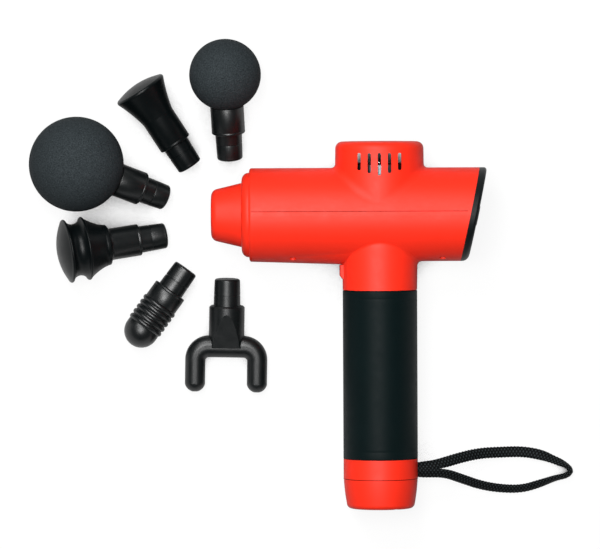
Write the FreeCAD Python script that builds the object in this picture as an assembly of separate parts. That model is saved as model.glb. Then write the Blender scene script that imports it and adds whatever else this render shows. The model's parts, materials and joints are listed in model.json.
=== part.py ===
import FreeCAD, Part
import math
import os

# A massage gun with a wrist lanyard, and its six massage heads, lying on a table. Millimetres.
# The gun is drawn in its own frame and is then laid on its side on the table:
#   X runs along the barrel (the nose at -X), Y along the handle (the motor hump at +Y), Z across.
# A massage head is drawn along X too, from its working end to the tip of its shank at +X.

# Fits and gaps
running_gap = 0.05        # between parts that slide or turn in each other
fixed_gap = 0.05          # between parts that are pushed together and stay
free_gap = 0.3            # between parts that move past each other without guiding

# Barrel
barrel_radius = 30.0
barrel_wall = 2.4
barrel_front = 83.4       # from the handle's axis to the front edge
barrel_rear = 57.8        # from the handle's axis to the rear parting line, on the barrel's axis
barrel_corner = 1.6       # rounding of the front edge
rear_lean = 11.8          # degrees by which the rear face leans back at the top
chin_radius = 24.0        # of the raised underside between the barrel's front and the neck
chin_drop = 1.9           # how far it stands below the barrel where it meets the neck
chin_inset = 0.05         # how deep it starts inside the barrel at the front

# Motor hump and its vents
hump_base_radius = barrel_radius - 1.2
hump_top_radius = hump_base_radius - 0.6
hump_height = barrel_radius + 16.8
hump_corner = 4.5
hump_fillet = 2.5         # where the hump leaves the barrel, at its front and rear
hump_side_fillet = 14.0   # and at its sides, where the two almost run into each other
vent_width = 2.2
vent_pitch = 6.45
vent_top = hump_height - 7.0
vent_lengths = (14.3, 12.8, 11.0)   # the middle vent, then the next ones outward

# Neck, and the bay for the battery's tower in it
neck_top_radius = 24.6
neck_bottom_radius = 23.85
neck_end = 48.1           # from the barrel's axis to the lower edge of the neck
neck_fillet = 3.0
bay_wall = 2.0
bay_ceiling = 19.3        # from the barrel's axis down to the top of the bay
bulkhead_thickness = 2.0

# Nose
ring_radius = barrel_radius - 2.9
ring_length = 4.9
ring_corner = 4.7
spigot_radius = 20.0
spigot_length = 14.4
nose_length = 19.6
nose_base_radius = 20.6
nose_tip_radius = 15.9
nose_corner = 4.8
nose_wall = 2.8
nose_opening_radius = 11.8

# Rear bezel, lens and speed button
bezel_thickness = 4.8
bezel_top_corner = 1.8
bezel_bottom_corner = 4.8
bezel_spigot = 3.0
lens_radius = 21.8
lens_thickness = 1.4
bezel_plate = 2.0
lens_opening_radius = 19.0
speed_button_radius = 6.5
speed_button_proud = 0.8
speed_button_travel = 0.6
speed_button_edge = 0.4
board_thickness = 1.6
chip_width = 8.0
chip_thickness = 1.2
board_plug_length = 12.0
board_plug_width = 5.0
board_plug_height = 5.0
board_plug_offset = 10.0    # from the board's middle to the plug

# Housing screws, under the barrel
screw_front = 55.6
screw_rear = 40.2
screw_spread = 12.0       # from the middle plane to each screw
screw_boss_radius = 3.8
screw_head_radius = 1.95
screw_head_height = 1.8
screw_radius = 1.25
screw_seat = 12.0         # from the parting plane down to the screw's seat
screw_bite = 9.0          # length of the screw above the parting plane

# Drive: frame, crank, yoke and piston
stroke_radius = 5.0       # eccentricity of the crank pin, half the stroke of the heads
frame_half_length = 27.0
frame_half_width = 21.5
frame_plate = 2.5
frame_wall = 3.0
frame_bottom = 10.0
frame_deck_low = 10.0
frame_deck_thickness = 3.0
frame_ear = 7.0           # length of the screw ears beyond the end walls
frame_screw_spread = 12.0
frame_screw_radius = 1.5
frame_screw_head = 2.8    # radius
frame_screw_length = 8.0
frame_narrowing = 5.0     # how much narrower the ends of the frame's plate are, each side
frame_ear_corner = 3.0
frame_boss_radius = 3.2
crank_radius = 9.0
crank_bottom = 4.0
crank_thickness = 5.5
counterweight_radius = 13.5
counterweight_angle = 100.0
crank_pin_radius = 2.5
crank_bearing_radius = 7.0
crank_bearing_width = 5.0
crank_bolt_radius = 3.6
crank_bolt_head = 1.8
crank_bolt_shank = 1.5     # radius
crank_shaft_engagement = 4.0
bearing_groove_depth = 0.4
bearing_ring_thickness = 1.3
slot_play = 0.7           # each side of the crank bearing in the yoke's slot
yoke_half_length = 12.0
yoke_thickness = 6.0
yoke_wall = 3.0
yoke_tongue_end = 30.0
yoke_tongue_half_width = 5.0
guide_rod_radius = 2.5
guide_rod_spread = 18.0
bush_radius = 3.6
bush_half_length = 8.0
lug_radius = 4.8
piston_rod_radius = 6.0
piston_rod_spigot = 4.0
piston_rod_reach = 8.0
piston_radius = 11.2
piston_back = 66.0
socket_recess = 6.0       # from the nose's front face back to the socket's mouth, at mid stroke
socket_depth = 20.0
socket_ring_section = 1.5
socket_ring_inset = 6.9
socket_lead = 0.8
bushing_radius = 13.5
bushing_front = 88.0

# Motor
motor_shaft_radius = 2.5
motor_flange_radius = 19.0
motor_flange_thickness = 2.0
motor_hole_circle = 15.0
motor_hole_radius = 1.6
bearing_radius = 5.0
bearing_width = 4.0
motor_tube_wall = 1.5
core_radius = 16.4
core_low = 17.5
core_height = 10.0
tooth_count = 12
tooth_width = 2.6
tooth_shoe = 1.4
tooth_shoe_angle = 25.0   # degrees that a tooth's shoe spans
stator_hub_wall = 3.0
coil_corner = 0.7
coil_thickness = 1.0
coil_overhang = 1.2
magnet_count = 14
magnet_thickness = 1.6
air_gap = 0.6
can_wall = 1.4
can_low = 15.8
can_top = 33.0
can_plate = 1.4
can_corner = 1.5
can_hole_radius = 3.2
can_hole_circle = 11.5
can_hole_count = 6
magnet_gap = 4.0          # degrees between magnets

# Release button at the front of the neck
button_top = 32.2
button_bottom = 41.2
button_chamfer = 2.3
button_radius = 25.9      # from the handle's axis to the button's face
button_half_width = 6.5
button_flange = 1.3       # flange beyond the button, behind the neck's wall
button_flange_thickness = 2.0
button_travel = 1.5
keyway_half_width = 8.4
keyway_bottom = button_bottom + button_flange + 1.9

# Battery handle
grip_radius = 23.85
grip_rubber = 1.5
grip_edge = 0.4
grip_end = 156.5
tower_gap = 0.3
tower_radius = 20.9
tower_wall = 0.9
tower_top_wall = 2.5
tower_top = bay_ceiling + 0.5
tower_lead = 0.8
case_wall = 1.75
cell_radius = 9.2
cell_length = 65.0
cell_gap = 0.1
blade_spread = 7.0
blade_thickness = 0.8
blade_width = 6.0
blade_length = 1.6
contact_block_width = 24.0
contact_block_depth = 16.0
contact_block_height = 4.5
contact_rim = 1.5
contact_rim_thickness = 1.2
clip_thickness = 0.4

# Base ring and base cap, at the handle's lower end
base_ring_end = grip_end + 12.7
base_ring_radius = 23.8
base_ring_bore = 15.0
base_ring_spigot = 2.0
base_cap_end = base_ring_end + 19.2
base_cap_top_radius = 23.7
base_cap_middle_radius = 22.85
base_cap_bottom_radius = 21.2
base_cap_wall = 2.4
base_cap_floor = 3.0
base_cap_edge = 3.4
base_screw_radius = 1.5
base_screw_head_radius = 2.6
base_screw_head = 2.0
base_screw_seat = 2.4     # from the cap's face in to the screw's seat
base_screw_reach = 8.0    # length of the screw in the base ring
base_screw_circle = 17.0
base_screw_boss_radius = 3.2

# Power rocker, charging socket and charge light in the base cap
rocker_offset = 6.5       # from the handle's axis toward the front
rocker_frame_length = 15.0
rocker_frame_width = 10.5
rocker_inset = 1.2        # from the cap's face in to the face of the rocker's frame
rocker_flange = 1.0
rocker_frame_depth = 9.0
rocker_frame_border = 1.9
rocker_pivot_depth = 3.6
rocker_pin_radius = 0.9
rocker_pin_reach = 0.8    # of the pivot pins beyond the rocker's sides
rocker_side = 1.0         # from the flange's edge in to the frame's body
rocker_floor = 1.2
rocker_corner = 1.2
rocker_foot = 1.6
rocker_throw = 14.0       # degrees from off to on
jack_offset = 9.5
jack_radius = 4.0
jack_bore_radius = 2.9
jack_pin_radius = 1.05
jack_depth = 9.5
jack_floor = 2.0
jack_pin_inset = 1.5
light_radius = 1.5
light_spread = 9.0

# Lanyard and its anchor in the base ring
lanyard_diameter = 4.2
lanyard_pitch = 4.3       # between the two strands where they leave the ring
lanyard_height = grip_end + 7.3   # from the barrel's axis down to the middle of the two strands
lanyard_slot_floor = 18.0
lanyard_bar_thickness = 1.5
# The route of the loop outside the handle, from the upper strand round to the lower one. X and Y are
# measured along the table from the handle's axis at the slot, Z up from the table.
lanyard_lead = 28.5       # from the handle's axis to the first and the last bend
lanyard_loop = [
    (39.0, 3.59, 21.9),
    (51.0, 6.29, 16.0),
    (64.0, 8.09, 9.1),
    (79.0, 9.59, 4.1),
    (94.5, 9.89, 2.7),
    (108.0, 7.29, 2.9),
    (117.3, 3.49, 2.6),
    (122.9, 0.49, 2.7),
    (124.1, -3.61, 2.8),
    (121.9, -7.21, 2.6),
    (114.4, -9.31, 2.5),
    (102.5, -12.41, 2.7),
    (88.5, -14.81, 2.6),
    (73.5, -14.51, 3.9),
    (60.0, -11.51, 8.8),
    (48.5, -7.21, 15.5),
    (38.0, -3.51, 21.4),
]

# Shanks and collars of the massage heads
shank_root_radius = 8.6
shank_tip_radius = 8.2
shank_length = 17.4
shank_tip_corner = 1.5
shank_groove_offset = 6.6
shank_groove_width = 0.6
shank_groove_depth = 0.35
collar_radius = 10.75
collar_chamfer = 0.9

# Massage heads. Lengths run from each head's reference point to the end of its collar.
large_ball_radius = 30.4
large_ball_collar_end = 47.0
small_ball_radius = 23.0
small_ball_collar_end = 38.5
ball_socket_depth = 15.0
bell_radius = 17.3
bell_rim = 1.7
bell_dome = 2.8
bell_neck_station = 22.5
bell_flare_station = 10.5   # where the flare's radius is the next value
bell_flare_radius = 14.0
bell_collar_end = 43.2
cushion_radius = 20.5
cushion_valley_radius = 16.7
cushion_dome = 5.4
cushion_lip = 0.9         # radius of the rounding at the edges of the lip and the ridge
cushion_hollow = 1.5      # how far the back of the cushion curves in
cushion_stem_flare = 2.0
cushion_ridge_station = 12.6
cushion_end_station = 27.9
cushion_end_radius = 12.5
cushion_collar_radius = 10.2
cushion_collar_end = 48.5
cushion_socket_depth = 10.0
ribbed_radius = 11.1
rib_count = 5
rib_pitch = 3.7
rib_start = 3.0
rib_height = 0.9
ribbed_collar_end = 32.0
fork_tine_radius = 6.5
fork_tine_length = 22.4
fork_bar_height = 14.0
fork_width = 52.9
fork_outer_corner = 15.5
fork_inner_corner = 2.2
fork_tip_ease = 0.2       # how much larger the ball at a tine's tip is than the tine
fork_collar_radius = 11.4
fork_collar_length = 19.4
fork_facet_offset = 5.0    # from the collar's end down to the start of its flat facets

# Places of the heads on the table: X and Y of the reference point from the point where the
# gun's axes cross, and the heading of the shank in degrees.
head_places = {
    "large_ball": (-194.2, 33.1, -20.9),
    "small_ball": (-98.8, 90.2, -87.2),
    "bell": (-154.3, 82.2, -57.2),
    "cushion": (-201.4, -22.8, 9.1),
    "ribbed": (-153.6, -73.8, 54.0),
    "fork": (-99.6, -113.6, 88.8),
}

origin = FreeCAD.Vector(0, 0, 0)
directions = {
    "x": FreeCAD.Vector(1, 0, 0),
    "y": FreeCAD.Vector(0, 1, 0),
    "z": FreeCAD.Vector(0, 0, 1),
}

# Places that follow from the dimensions above, in the gun's frame
ring_front = -barrel_front - ring_length
nose_front = ring_front - nose_length
socket_mouth = nose_front + socket_recess
socket_radius = shank_root_radius + fixed_gap
bay_radius = tower_radius + tower_gap
button_flange_half_width = button_half_width + button_flange - free_gap
button_inner_radius = bay_radius - free_gap - button_flange_thickness
keyway_floor = (math.sqrt(button_inner_radius ** 2 - button_flange_half_width ** 2)
                - button_travel - free_gap)
case_radius = grip_radius - grip_rubber
bushing_back = -barrel_front + spigot_length
bezel_face = bezel_thickness / math.cos(math.radians(rear_lean))
deck_top = frame_deck_low + frame_deck_thickness
flange_top = deck_top + motor_flange_thickness
yoke_slot_half_width = crank_bearing_radius + slot_play
can_radius = core_radius + air_gap + magnet_thickness + can_wall
base_screw_angles = (60, 180, 300)


def rod(axis, radius, start, end, first=0.0, second=0.0):
    """A cylinder along an axis; first and second are its place on the other two axes."""
    low = min(start, end)
    place = {"x": (low, first, second), "y": (first, low, second), "z": (first, second, low)}
    return Part.makeCylinder(radius, abs(end - start), FreeCAD.Vector(*place[axis]), directions[axis])


def pipe(axis, outer, inner, start, end, first=0.0, second=0.0):
    return rod(axis, outer, start, end, first, second).cut(rod(axis, inner, start, end, first, second))


def block(x0, x1, y0, y1, z0, z1):
    corner = FreeCAD.Vector(min(x0, x1), min(y0, y1), min(z0, z1))
    return Part.makeBox(abs(x1 - x0), abs(y1 - y0), abs(z1 - z0), corner)


def flat_face(points, place):
    """A face inside a closed outline; an entry with two points is an arc through the first."""
    edges = []
    last = place(*points[0])
    for step in points[1:] + [points[0]]:
        if isinstance(step[0], tuple):
            through = place(*step[0])
            end = place(*step[1])
            edges.append(Part.Arc(last, through, end).toShape())
        else:
            end = place(*step)
            edges.append(Part.LineSegment(last, end).toShape())
        last = end
    return Part.Face(Part.Wire(edges))


def turned(axis, points):
    """A turned solid; each point is a station along the axis and a radius."""
    places = {
        "x": lambda station, radius: FreeCAD.Vector(station, radius, 0),
        "y": lambda station, radius: FreeCAD.Vector(radius, station, 0),
    }
    return flat_face(points, places[axis]).revolve(origin, directions[axis], 360)


def rounded(centre_station, centre_radius, size, start_angle, end_angle):
    """Two points of an arc: its middle and its end, by angles from the axis, in degrees."""
    middle = math.radians((start_angle + end_angle) / 2)
    end = math.radians(end_angle)
    return (
        (centre_station + size * math.cos(middle), centre_radius + size * math.sin(middle)),
        (centre_station + size * math.cos(end), centre_radius + size * math.sin(end)),
    )


def dome(base, radius, height):
    """Two points of an arc centred on the axis: halfway up it, and where it meets the axis."""
    size = (radius ** 2 + height ** 2) / (2 * abs(height))
    side = math.copysign(1, height)
    centre = base + height - side * size
    half = math.asin(radius / size) / 2
    return (centre + side * size * math.cos(half), size * math.sin(half)), (base + height, 0)


def edges_where(shape, test):
    """The edges that pass a test at every one of a few points along them."""
    found = []
    for edge in shape.Edges:
        if edge.Degenerated:
            continue
        span = edge.LastParameter - edge.FirstParameter
        points = [edge.valueAt(edge.FirstParameter + span * k / 6) for k in range(7)]
        if all(test(point) for point in points):
            found.append(edge)
    return found


def long_hole(width, length, top, depth_start, depth_end, across):
    """A round-ended slot that runs through Z; its length is along Y."""
    half = width / 2
    low = top - length + half
    high = top - half
    outline = [
        (across - half, low),
        ((across, low - half), (across + half, low)),
        (across + half, high),
        ((across, high + half), (across - half, high)),
    ]
    face = flat_face(outline, lambda x, y: FreeCAD.Vector(x, y, depth_start))
    return face.extrude(FreeCAD.Vector(0, 0, depth_end - depth_start))


def grouped(shapes):
    return Part.makeCompound(shapes)


def spun(shape, axis, angle):
    copy = shape.copy()
    copy.rotate(origin, directions[axis], angle)
    return copy


def lean_back(shape, distance=0.0):
    """Moves a piece drawn against the plane x = 0 onto the leaning rear parting plane."""
    moved = shape.copy()
    moved.rotate(origin, directions["z"], -rear_lean)
    moved.translate(FreeCAD.Vector(barrel_rear + distance, 0, 0))
    return moved


# ---- Housing ----

def behind_rear_plane(distance):
    """Everything behind the rear parting plane moved back by a distance."""
    reach = 4 * barrel_radius
    return lean_back(block(0, reach, -reach, reach, -reach, reach), distance)


def housing_outside():
    """Barrel, hump and neck in one, with the fillets where they meet."""
    corner = barrel_corner
    reach = barrel_rear + barrel_radius
    barrel = turned("x", [
        (-barrel_front, 0),
        (-barrel_front, barrel_radius - corner),
        rounded(-barrel_front + corner, barrel_radius - corner, corner, 180, 90),
        (reach, barrel_radius),
        (reach, 0),
    ])
    hump = turned("y", [
        (0, 0),
        (0, hump_base_radius),
        (hump_height, hump_top_radius),
        (hump_height, 0),
    ])
    hump = hump.makeFillet(hump_corner, edges_where(hump, lambda p: abs(p.y - hump_height) < 0.01
                                                    and math.hypot(p.x, p.z) > 1))
    neck = turned("y", [
        (0, 0),
        (0, neck_top_radius),
        (-neck_end, neck_bottom_radius),
        (-neck_end, 0),
    ])
    body = with_hump_fillet(barrel.fuse(hump)).fuse(neck)
    body = body.makeFillet(neck_fillet, seam_edges(body, -neck_end, -1))
    return body.fuse(barrel_chin())


def with_hump_fillet(body):
    """Rounds the hump's root, front and rear half by half, wider at the sides of the barrel."""
    reach = 2 * barrel_front
    quarters = []
    for x0, x1 in ((-reach, 0), (0, reach)):
        quarter = body.common(block(x0, x1, -reach, reach, 0, reach))
        edge = seam_edges(quarter, 1, hump_height)[0]
        radii = (hump_side_fillet, hump_fillet)
        if edge.Vertexes[0].Point.y > edge.Vertexes[-1].Point.y:
            radii = radii[::-1]
        quarter = quarter.makeFillet(radii[0], radii[1], [edge])
        quarters += [quarter, quarter.mirror(origin, directions["z"])]
    return quarters[0].multiFuse(quarters[1:]).removeSplitter()


def barrel_chin():
    """The raised underside of the barrel, which drops a little toward the neck."""
    start = -barrel_front + barrel_corner
    slope = math.degrees(math.atan2(chin_drop, -neck_top_radius - start))
    chin = spun(rod("x", chin_radius, 0, -2 * neck_top_radius / 3 - start), "z", -slope)
    chin.translate(FreeCAD.Vector(start, chin_radius - barrel_radius + chin_inset, 0))
    return chin


def seam_edges(body, low, high):
    """The curved edges where a round branch leaves the barrel, between two heights."""
    def on_barrel(p):
        return abs(math.hypot(p.y, p.z) - barrel_radius) < 0.02 and low < p.y < high
    return [edge for edge in edges_where(body, on_barrel)
            if edge.Length > barrel_radius and not isinstance(edge.Curve, Part.Line)]


def housing_inside():
    """The hollow: barrel, hump and battery bay."""
    inner = barrel_radius - barrel_wall
    barrel = rod("x", inner, -barrel_front + barrel_wall, barrel_rear + barrel_radius)
    hump = turned("y", [
        (0, 0),
        (0, hump_base_radius - barrel_wall),
        (hump_height - barrel_wall, hump_top_radius - barrel_wall),
        (hump_height - barrel_wall, 0),
    ])
    return barrel.fuse(hump)


def screw_places():
    return [(x, z) for x in (-screw_front, screw_rear) for z in (-screw_spread, screw_spread)]


def frame_screw_places():
    reach = frame_half_length + frame_ear / 2
    return [(x, z) for x in (-reach, reach) for z in (-frame_screw_spread, frame_screw_spread)]


def housing_whole():
    outside = housing_outside()
    inside = housing_inside()
    shell = outside.cut(inside)
    inner_tube = rod("y", bay_radius + bay_wall, -neck_end, -bay_ceiling + bulkhead_thickness)
    additions = [inner_tube]
    for x, z in screw_places():
        additions.append(rod("y", screw_boss_radius, -barrel_radius, barrel_radius, x, z))
    for x, z in frame_screw_places():
        additions.append(rod("y", frame_boss_radius, -barrel_radius, -frame_bottom, x, z))
    filled = additions[0].multiFuse(additions[1:]).common(inside)
    shell = shell.fuse(filled)
    cuts = [rod("y", bay_radius, -neck_end, -bay_ceiling)]
    cuts.append(rod("x", spigot_radius + fixed_gap, -barrel_front, -barrel_front + barrel_wall))
    for x, z in screw_places():
        cuts.append(rod("y", screw_head_radius + 3 * fixed_gap, -barrel_radius, -screw_seat, x, z))
        cuts.append(rod("y", screw_radius + fixed_gap, -screw_seat, screw_bite + 1, x, z))
    for x, z in frame_screw_places():
        cuts.append(rod("y", frame_screw_radius + fixed_gap, -frame_bottom - frame_screw_length - 1,
                        -frame_bottom, x, z))
    return shell.cut(cuts[0].multiFuse(cuts[1:])).cut(behind_rear_plane(0))


def vent_cutters():
    cutters = []
    for step in range(-2, 3):
        length = vent_lengths[abs(step)]
        cutters.append(long_hole(vent_width, length, vent_top, -barrel_radius, barrel_radius,
                                 step * vent_pitch))
    return cutters


def upper_housing(whole):
    reach = 4 * barrel_radius
    half = whole.common(block(-reach, reach, 0, reach, -reach, reach))
    vents = vent_cutters()
    return half.cut(vents[0].multiFuse(vents[1:]))


def lower_housing(whole):
    reach = 4 * barrel_radius
    half = whole.common(block(-reach, reach, -reach, 0, -reach, reach))
    window = block(-barrel_radius, -keyway_floor, -button_bottom - free_gap, -button_top + free_gap,
                   -button_half_width - free_gap, button_half_width + free_gap)
    block_half_width = contact_block_width / 2 + fixed_gap
    block_half_depth = contact_block_depth / 2 + fixed_gap
    connector = block(-block_half_width, block_half_width, -bay_ceiling, -bay_ceiling + bulkhead_thickness,
                      -block_half_depth, block_half_depth)
    return half.cut(window).cut(connector)


def housing_screws():
    screws = []
    for x, z in screw_places():
        head = rod("y", screw_head_radius, -screw_seat - screw_head_height, -screw_seat, x, z)
        recess = rod("y", screw_head_radius / 2, -screw_seat - screw_head_height,
                     -screw_seat - screw_head_height / 2, x, z)
        shank = rod("y", screw_radius, -screw_seat, screw_bite, x, z)
        screws.append(head.cut(recess).fuse(shank))
    return grouped(screws)


# ---- Nose ----

def front_ring():
    bore = bushing_radius + fixed_gap
    return turned("x", [
        (ring_front, bore),
        (ring_front, ring_radius - ring_corner),
        rounded(ring_front + ring_corner, ring_radius - ring_corner, ring_corner, 180, 90),
        (-barrel_front, ring_radius),
        (-barrel_front, spigot_radius),
        (-barrel_front + 2 * barrel_wall, spigot_radius),
        (-barrel_front + 2 * barrel_wall, bore + barrel_wall),
        (bushing_back, bore + barrel_wall),
        (bushing_back, bore),
    ])


def nose_cone():
    slope = (nose_base_radius - nose_tip_radius) / nose_length
    inner_front = nose_front + nose_wall
    corner = nose_corner
    cone = turned("x", [
        (ring_front, nose_base_radius - nose_wall),
        (ring_front, nose_base_radius),
        (nose_front, nose_tip_radius),
        (nose_front, nose_opening_radius),
        (inner_front, nose_opening_radius),
        (inner_front, nose_tip_radius + slope * nose_wall - nose_wall),
    ])

    def on_outer_edge(p):
        return abs(p.x - nose_front) < 0.01 and math.hypot(p.y, p.z) > nose_opening_radius + 1
    return cone.makeFillet(corner, edges_where(cone, on_outer_edge))


def front_bushing():
    return pipe("x", bushing_radius, piston_radius + running_gap, -bushing_front, bushing_back)


# ---- Rear bezel ----

def rear_bezel():
    slab = rod("x", barrel_radius, barrel_rear - barrel_radius, barrel_rear + barrel_radius)
    slab = slab.common(behind_rear_plane(0)).cut(behind_rear_plane(bezel_face))
    half = slab.common(block(-4 * barrel_radius, 4 * barrel_radius, -4 * barrel_radius,
                             4 * barrel_radius, 0, 4 * barrel_radius))
    lean = math.radians(rear_lean)

    def on_face(p):
        behind = (p.x - barrel_rear - bezel_face) * math.cos(lean) - p.y * math.sin(lean)
        return abs(behind) < 0.01 and abs(math.hypot(p.y, p.z) - barrel_radius) < 0.01
    edge = edges_where(half, on_face)[0]
    starts_low = edge.Vertexes[0].Point.y < 0
    radii = (bezel_bottom_corner, bezel_top_corner)
    if not starts_low:
        radii = radii[::-1]
    half = half.makeFillet(radii[0], radii[1], [edge])
    mirrored = half.mirror(origin, directions["z"])
    cap = half.fuse(mirrored).removeSplitter()
    spigot_outer = barrel_radius - barrel_wall - fixed_gap
    spigot = rod("x", spigot_outer, barrel_rear - barrel_radius, barrel_rear + barrel_radius)
    spigot = spigot.common(behind_rear_plane(-bezel_spigot)).cut(behind_rear_plane(0))
    plate_back = bezel_thickness - lens_thickness - bezel_plate
    hollow_radius = spigot_outer - barrel_wall
    hollow = rod("x", hollow_radius, -2 * bezel_spigot, plate_back)
    recess = rod("x", lens_radius + fixed_gap, bezel_thickness - lens_thickness, 2 * bezel_thickness)
    opening = rod("x", lens_opening_radius, -2 * bezel_spigot, 2 * bezel_thickness)
    return cap.fuse(spigot).cut(lean_back(hollow.fuse(recess).fuse(opening)))


def display_lens():
    lens = rod("x", lens_radius, bezel_thickness - lens_thickness, bezel_thickness)
    hole = rod("x", speed_button_radius + free_gap, 0, 2 * bezel_thickness)
    return lean_back(lens.cut(hole))


def speed_button():
    lens_back = bezel_thickness - lens_thickness
    face = bezel_thickness + speed_button_proud
    flange_front = lens_back - free_gap
    flange_thickness = bezel_plate - speed_button_travel - 2 * free_gap
    edge = speed_button_edge
    cap = turned("x", [
        (flange_front - flange_thickness, 0),
        (flange_front - flange_thickness, speed_button_radius + 1),
        (flange_front, speed_button_radius + 1),
        (flange_front, speed_button_radius),
        (face - edge, speed_button_radius),
        rounded(face - edge, speed_button_radius - edge, edge, 90, 0),
        dome(face, speed_button_radius - edge, -edge),
    ])
    return lean_back(cap)


def control_board():
    back = bezel_thickness - lens_thickness - bezel_plate
    radius = barrel_radius - 2 * barrel_wall - 3 * fixed_gap
    board = rod("x", radius, back - board_thickness, back)
    inside = back - board_thickness
    half_chip = chip_width / 2
    half_plug = board_plug_length / 2
    chip = block(inside - chip_thickness, inside, -half_chip, half_chip, -half_chip, half_chip)
    plug = block(inside - board_plug_height, inside, board_plug_offset,
                 board_plug_offset + board_plug_width, -half_plug, half_plug)
    return lean_back(board.fuse(chip).fuse(plug))


# ---- Drive ----

def wedge(angle, reach, low, high):
    """An upright wedge with its edge on the crank's axis, open toward +X, past a radius."""
    half = 2 * reach * math.tan(math.radians(angle / 2))
    face = flat_face([(0, 0), (2 * reach, half), (2 * reach, -half)],
                     lambda x, z: FreeCAD.Vector(x, low, z))
    return face.extrude(FreeCAD.Vector(0, high - low, 0))


def mechanism_frame():
    reach = frame_half_length
    width = frame_half_width
    plate_top = -frame_bottom + frame_plate
    ears = reach + frame_ear
    narrow = width - frame_narrowing
    plate = block(-ears, ears, -frame_bottom, plate_top, -narrow, narrow)
    corners = edges_where(plate, lambda p: abs(abs(p.x) - ears) < 0.01 and abs(abs(p.z) - narrow) < 0.01)
    plate = plate.makeFillet(frame_ear_corner, corners)
    middle = block(-reach, reach, -frame_bottom, plate_top, -width, width)
    front_wall = block(-reach, -reach + frame_wall, -frame_bottom, frame_deck_low, -width, width)
    rear_wall = block(reach - frame_wall, reach, -frame_bottom, frame_deck_low, -width, width)
    deck_half_width = width - frame_wall
    deck = block(-reach, reach, frame_deck_low, deck_top, -deck_half_width, deck_half_width)
    deck = deck.fuse(rod("y", motor_flange_radius + 2, frame_deck_low, deck_top))
    frame = plate.multiFuse([middle, front_wall, rear_wall, deck])
    cuts = [rod("y", motor_shaft_radius + 5 * free_gap, frame_deck_low, deck_top)]
    cuts.append(rod("x", piston_rod_radius + 2 * free_gap, -reach, -reach + frame_wall))
    cuts.append(rod("x", crank_radius, reach - frame_wall, reach))
    for side in (-1, 1):
        cuts.append(rod("x", guide_rod_radius + fixed_gap, -reach, reach, 0, side * guide_rod_spread))
    for x, z in frame_screw_places():
        cuts.append(rod("y", frame_screw_radius + fixed_gap, -frame_bottom, plate_top, x, z))
    return frame.cut(cuts[0].multiFuse(cuts[1:]))


def frame_screws():
    seat = -frame_bottom + frame_plate
    screws = []
    for x, z in frame_screw_places():
        rim = seat + frame_screw_head / 3
        head = turned("y", [(seat, 0), (seat, frame_screw_head), (rim, frame_screw_head),
                            dome(rim, frame_screw_head, frame_screw_head / 3)])
        head.translate(FreeCAD.Vector(x, 0, z))
        shank_end = -frame_bottom - frame_screw_length
        screws.append(head.fuse(rod("y", frame_screw_radius, shank_end, seat, x, z)))
    return grouped(screws)


def guide_rods():
    reach = frame_half_length
    return grouped([rod("x", guide_rod_radius, -reach, reach, 0, side * guide_rod_spread)
                    for side in (-1, 1)])


def yoke():
    half = yoke_thickness / 2
    slot_end = stroke_radius + crank_bearing_radius + slot_play
    bar_end = slot_end + yoke_wall
    body = block(-yoke_half_length, yoke_half_length, -half, half, -bar_end, bar_end)
    tongue = block(-yoke_tongue_end, 0, -half, half, -yoke_tongue_half_width, yoke_tongue_half_width)
    pieces = [tongue]
    for side in (-1, 1):
        pieces.append(rod("x", lug_radius, -bush_half_length, bush_half_length, 0, side * guide_rod_spread))
    body = body.multiFuse(pieces)
    slot_centre = slot_end - yoke_slot_half_width
    slot = block(-yoke_slot_half_width, yoke_slot_half_width, -2 * half, 2 * half, -slot_centre, slot_centre)
    for side in (-1, 1):
        slot = slot.fuse(rod("y", yoke_slot_half_width, -2 * half, 2 * half, 0, side * slot_centre))
        slot = slot.fuse(rod("x", bush_radius + fixed_gap, -2 * bush_half_length, 2 * bush_half_length,
                             0, side * guide_rod_spread))
    return body.cut(slot)


def yoke_bushes():
    return grouped([pipe("x", bush_radius, guide_rod_radius + running_gap, -bush_half_length,
                         bush_half_length, 0, side * guide_rod_spread) for side in (-1, 1)])


def piston_rod():
    return turned("x", [
        (-yoke_tongue_end, 0),
        (-yoke_tongue_end, piston_rod_radius),
        (-piston_back, piston_rod_radius),
        (-piston_back, piston_rod_spigot),
        (-piston_back - piston_rod_reach, piston_rod_spigot),
        (-piston_back - piston_rod_reach, 0),
    ])


def piston_tube():
    groove = socket_mouth + socket_ring_inset
    bottom = socket_mouth + socket_depth
    lead = socket_lead
    return turned("x", [
        (bottom, 0),
        (bottom, socket_radius),
        (groove + socket_ring_section, socket_radius),
        (groove + socket_ring_section, socket_radius + socket_ring_section),
        (groove, socket_radius + socket_ring_section),
        (groove, socket_radius),
        (socket_mouth + lead, socket_radius),
        (socket_mouth, socket_radius + lead),
        (socket_mouth, piston_radius - lead),
        (socket_mouth + lead, piston_radius),
        (-piston_back, piston_radius),
        (-piston_back, piston_rod_spigot + fixed_gap),
        (-piston_back - piston_rod_reach, piston_rod_spigot + fixed_gap),
        (-piston_back - piston_rod_reach, 0),
    ])


def socket_ring():
    half = socket_ring_section / 2
    middle = socket_mouth + socket_ring_inset + half
    ring = Part.makeTorus(socket_radius + half, half - fixed_gap / 2, origin, directions["x"])
    ring.translate(FreeCAD.Vector(middle, 0, 0))
    return ring


def crank():
    top = crank_bottom + crank_thickness
    disc = rod("y", crank_radius, crank_bottom, top)
    sector = wedge(counterweight_angle, counterweight_radius, crank_bottom, top)
    weight = rod("y", counterweight_radius, crank_bottom, top).common(spun(sector, "y", 90))
    pin = rod("y", crank_pin_radius, -crank_bearing_width / 2 - free_gap, crank_bottom, 0, stroke_radius)
    bolt_bore = rod("y", crank_bolt_shank + fixed_gap, -crank_bearing_width, crank_bottom - 1, 0,
                    stroke_radius)
    shaft_bore = rod("y", motor_shaft_radius + fixed_gap, top - crank_shaft_engagement, top)
    return disc.fuse(weight).fuse(pin).cut(bolt_bore).cut(shaft_bore)


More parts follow.
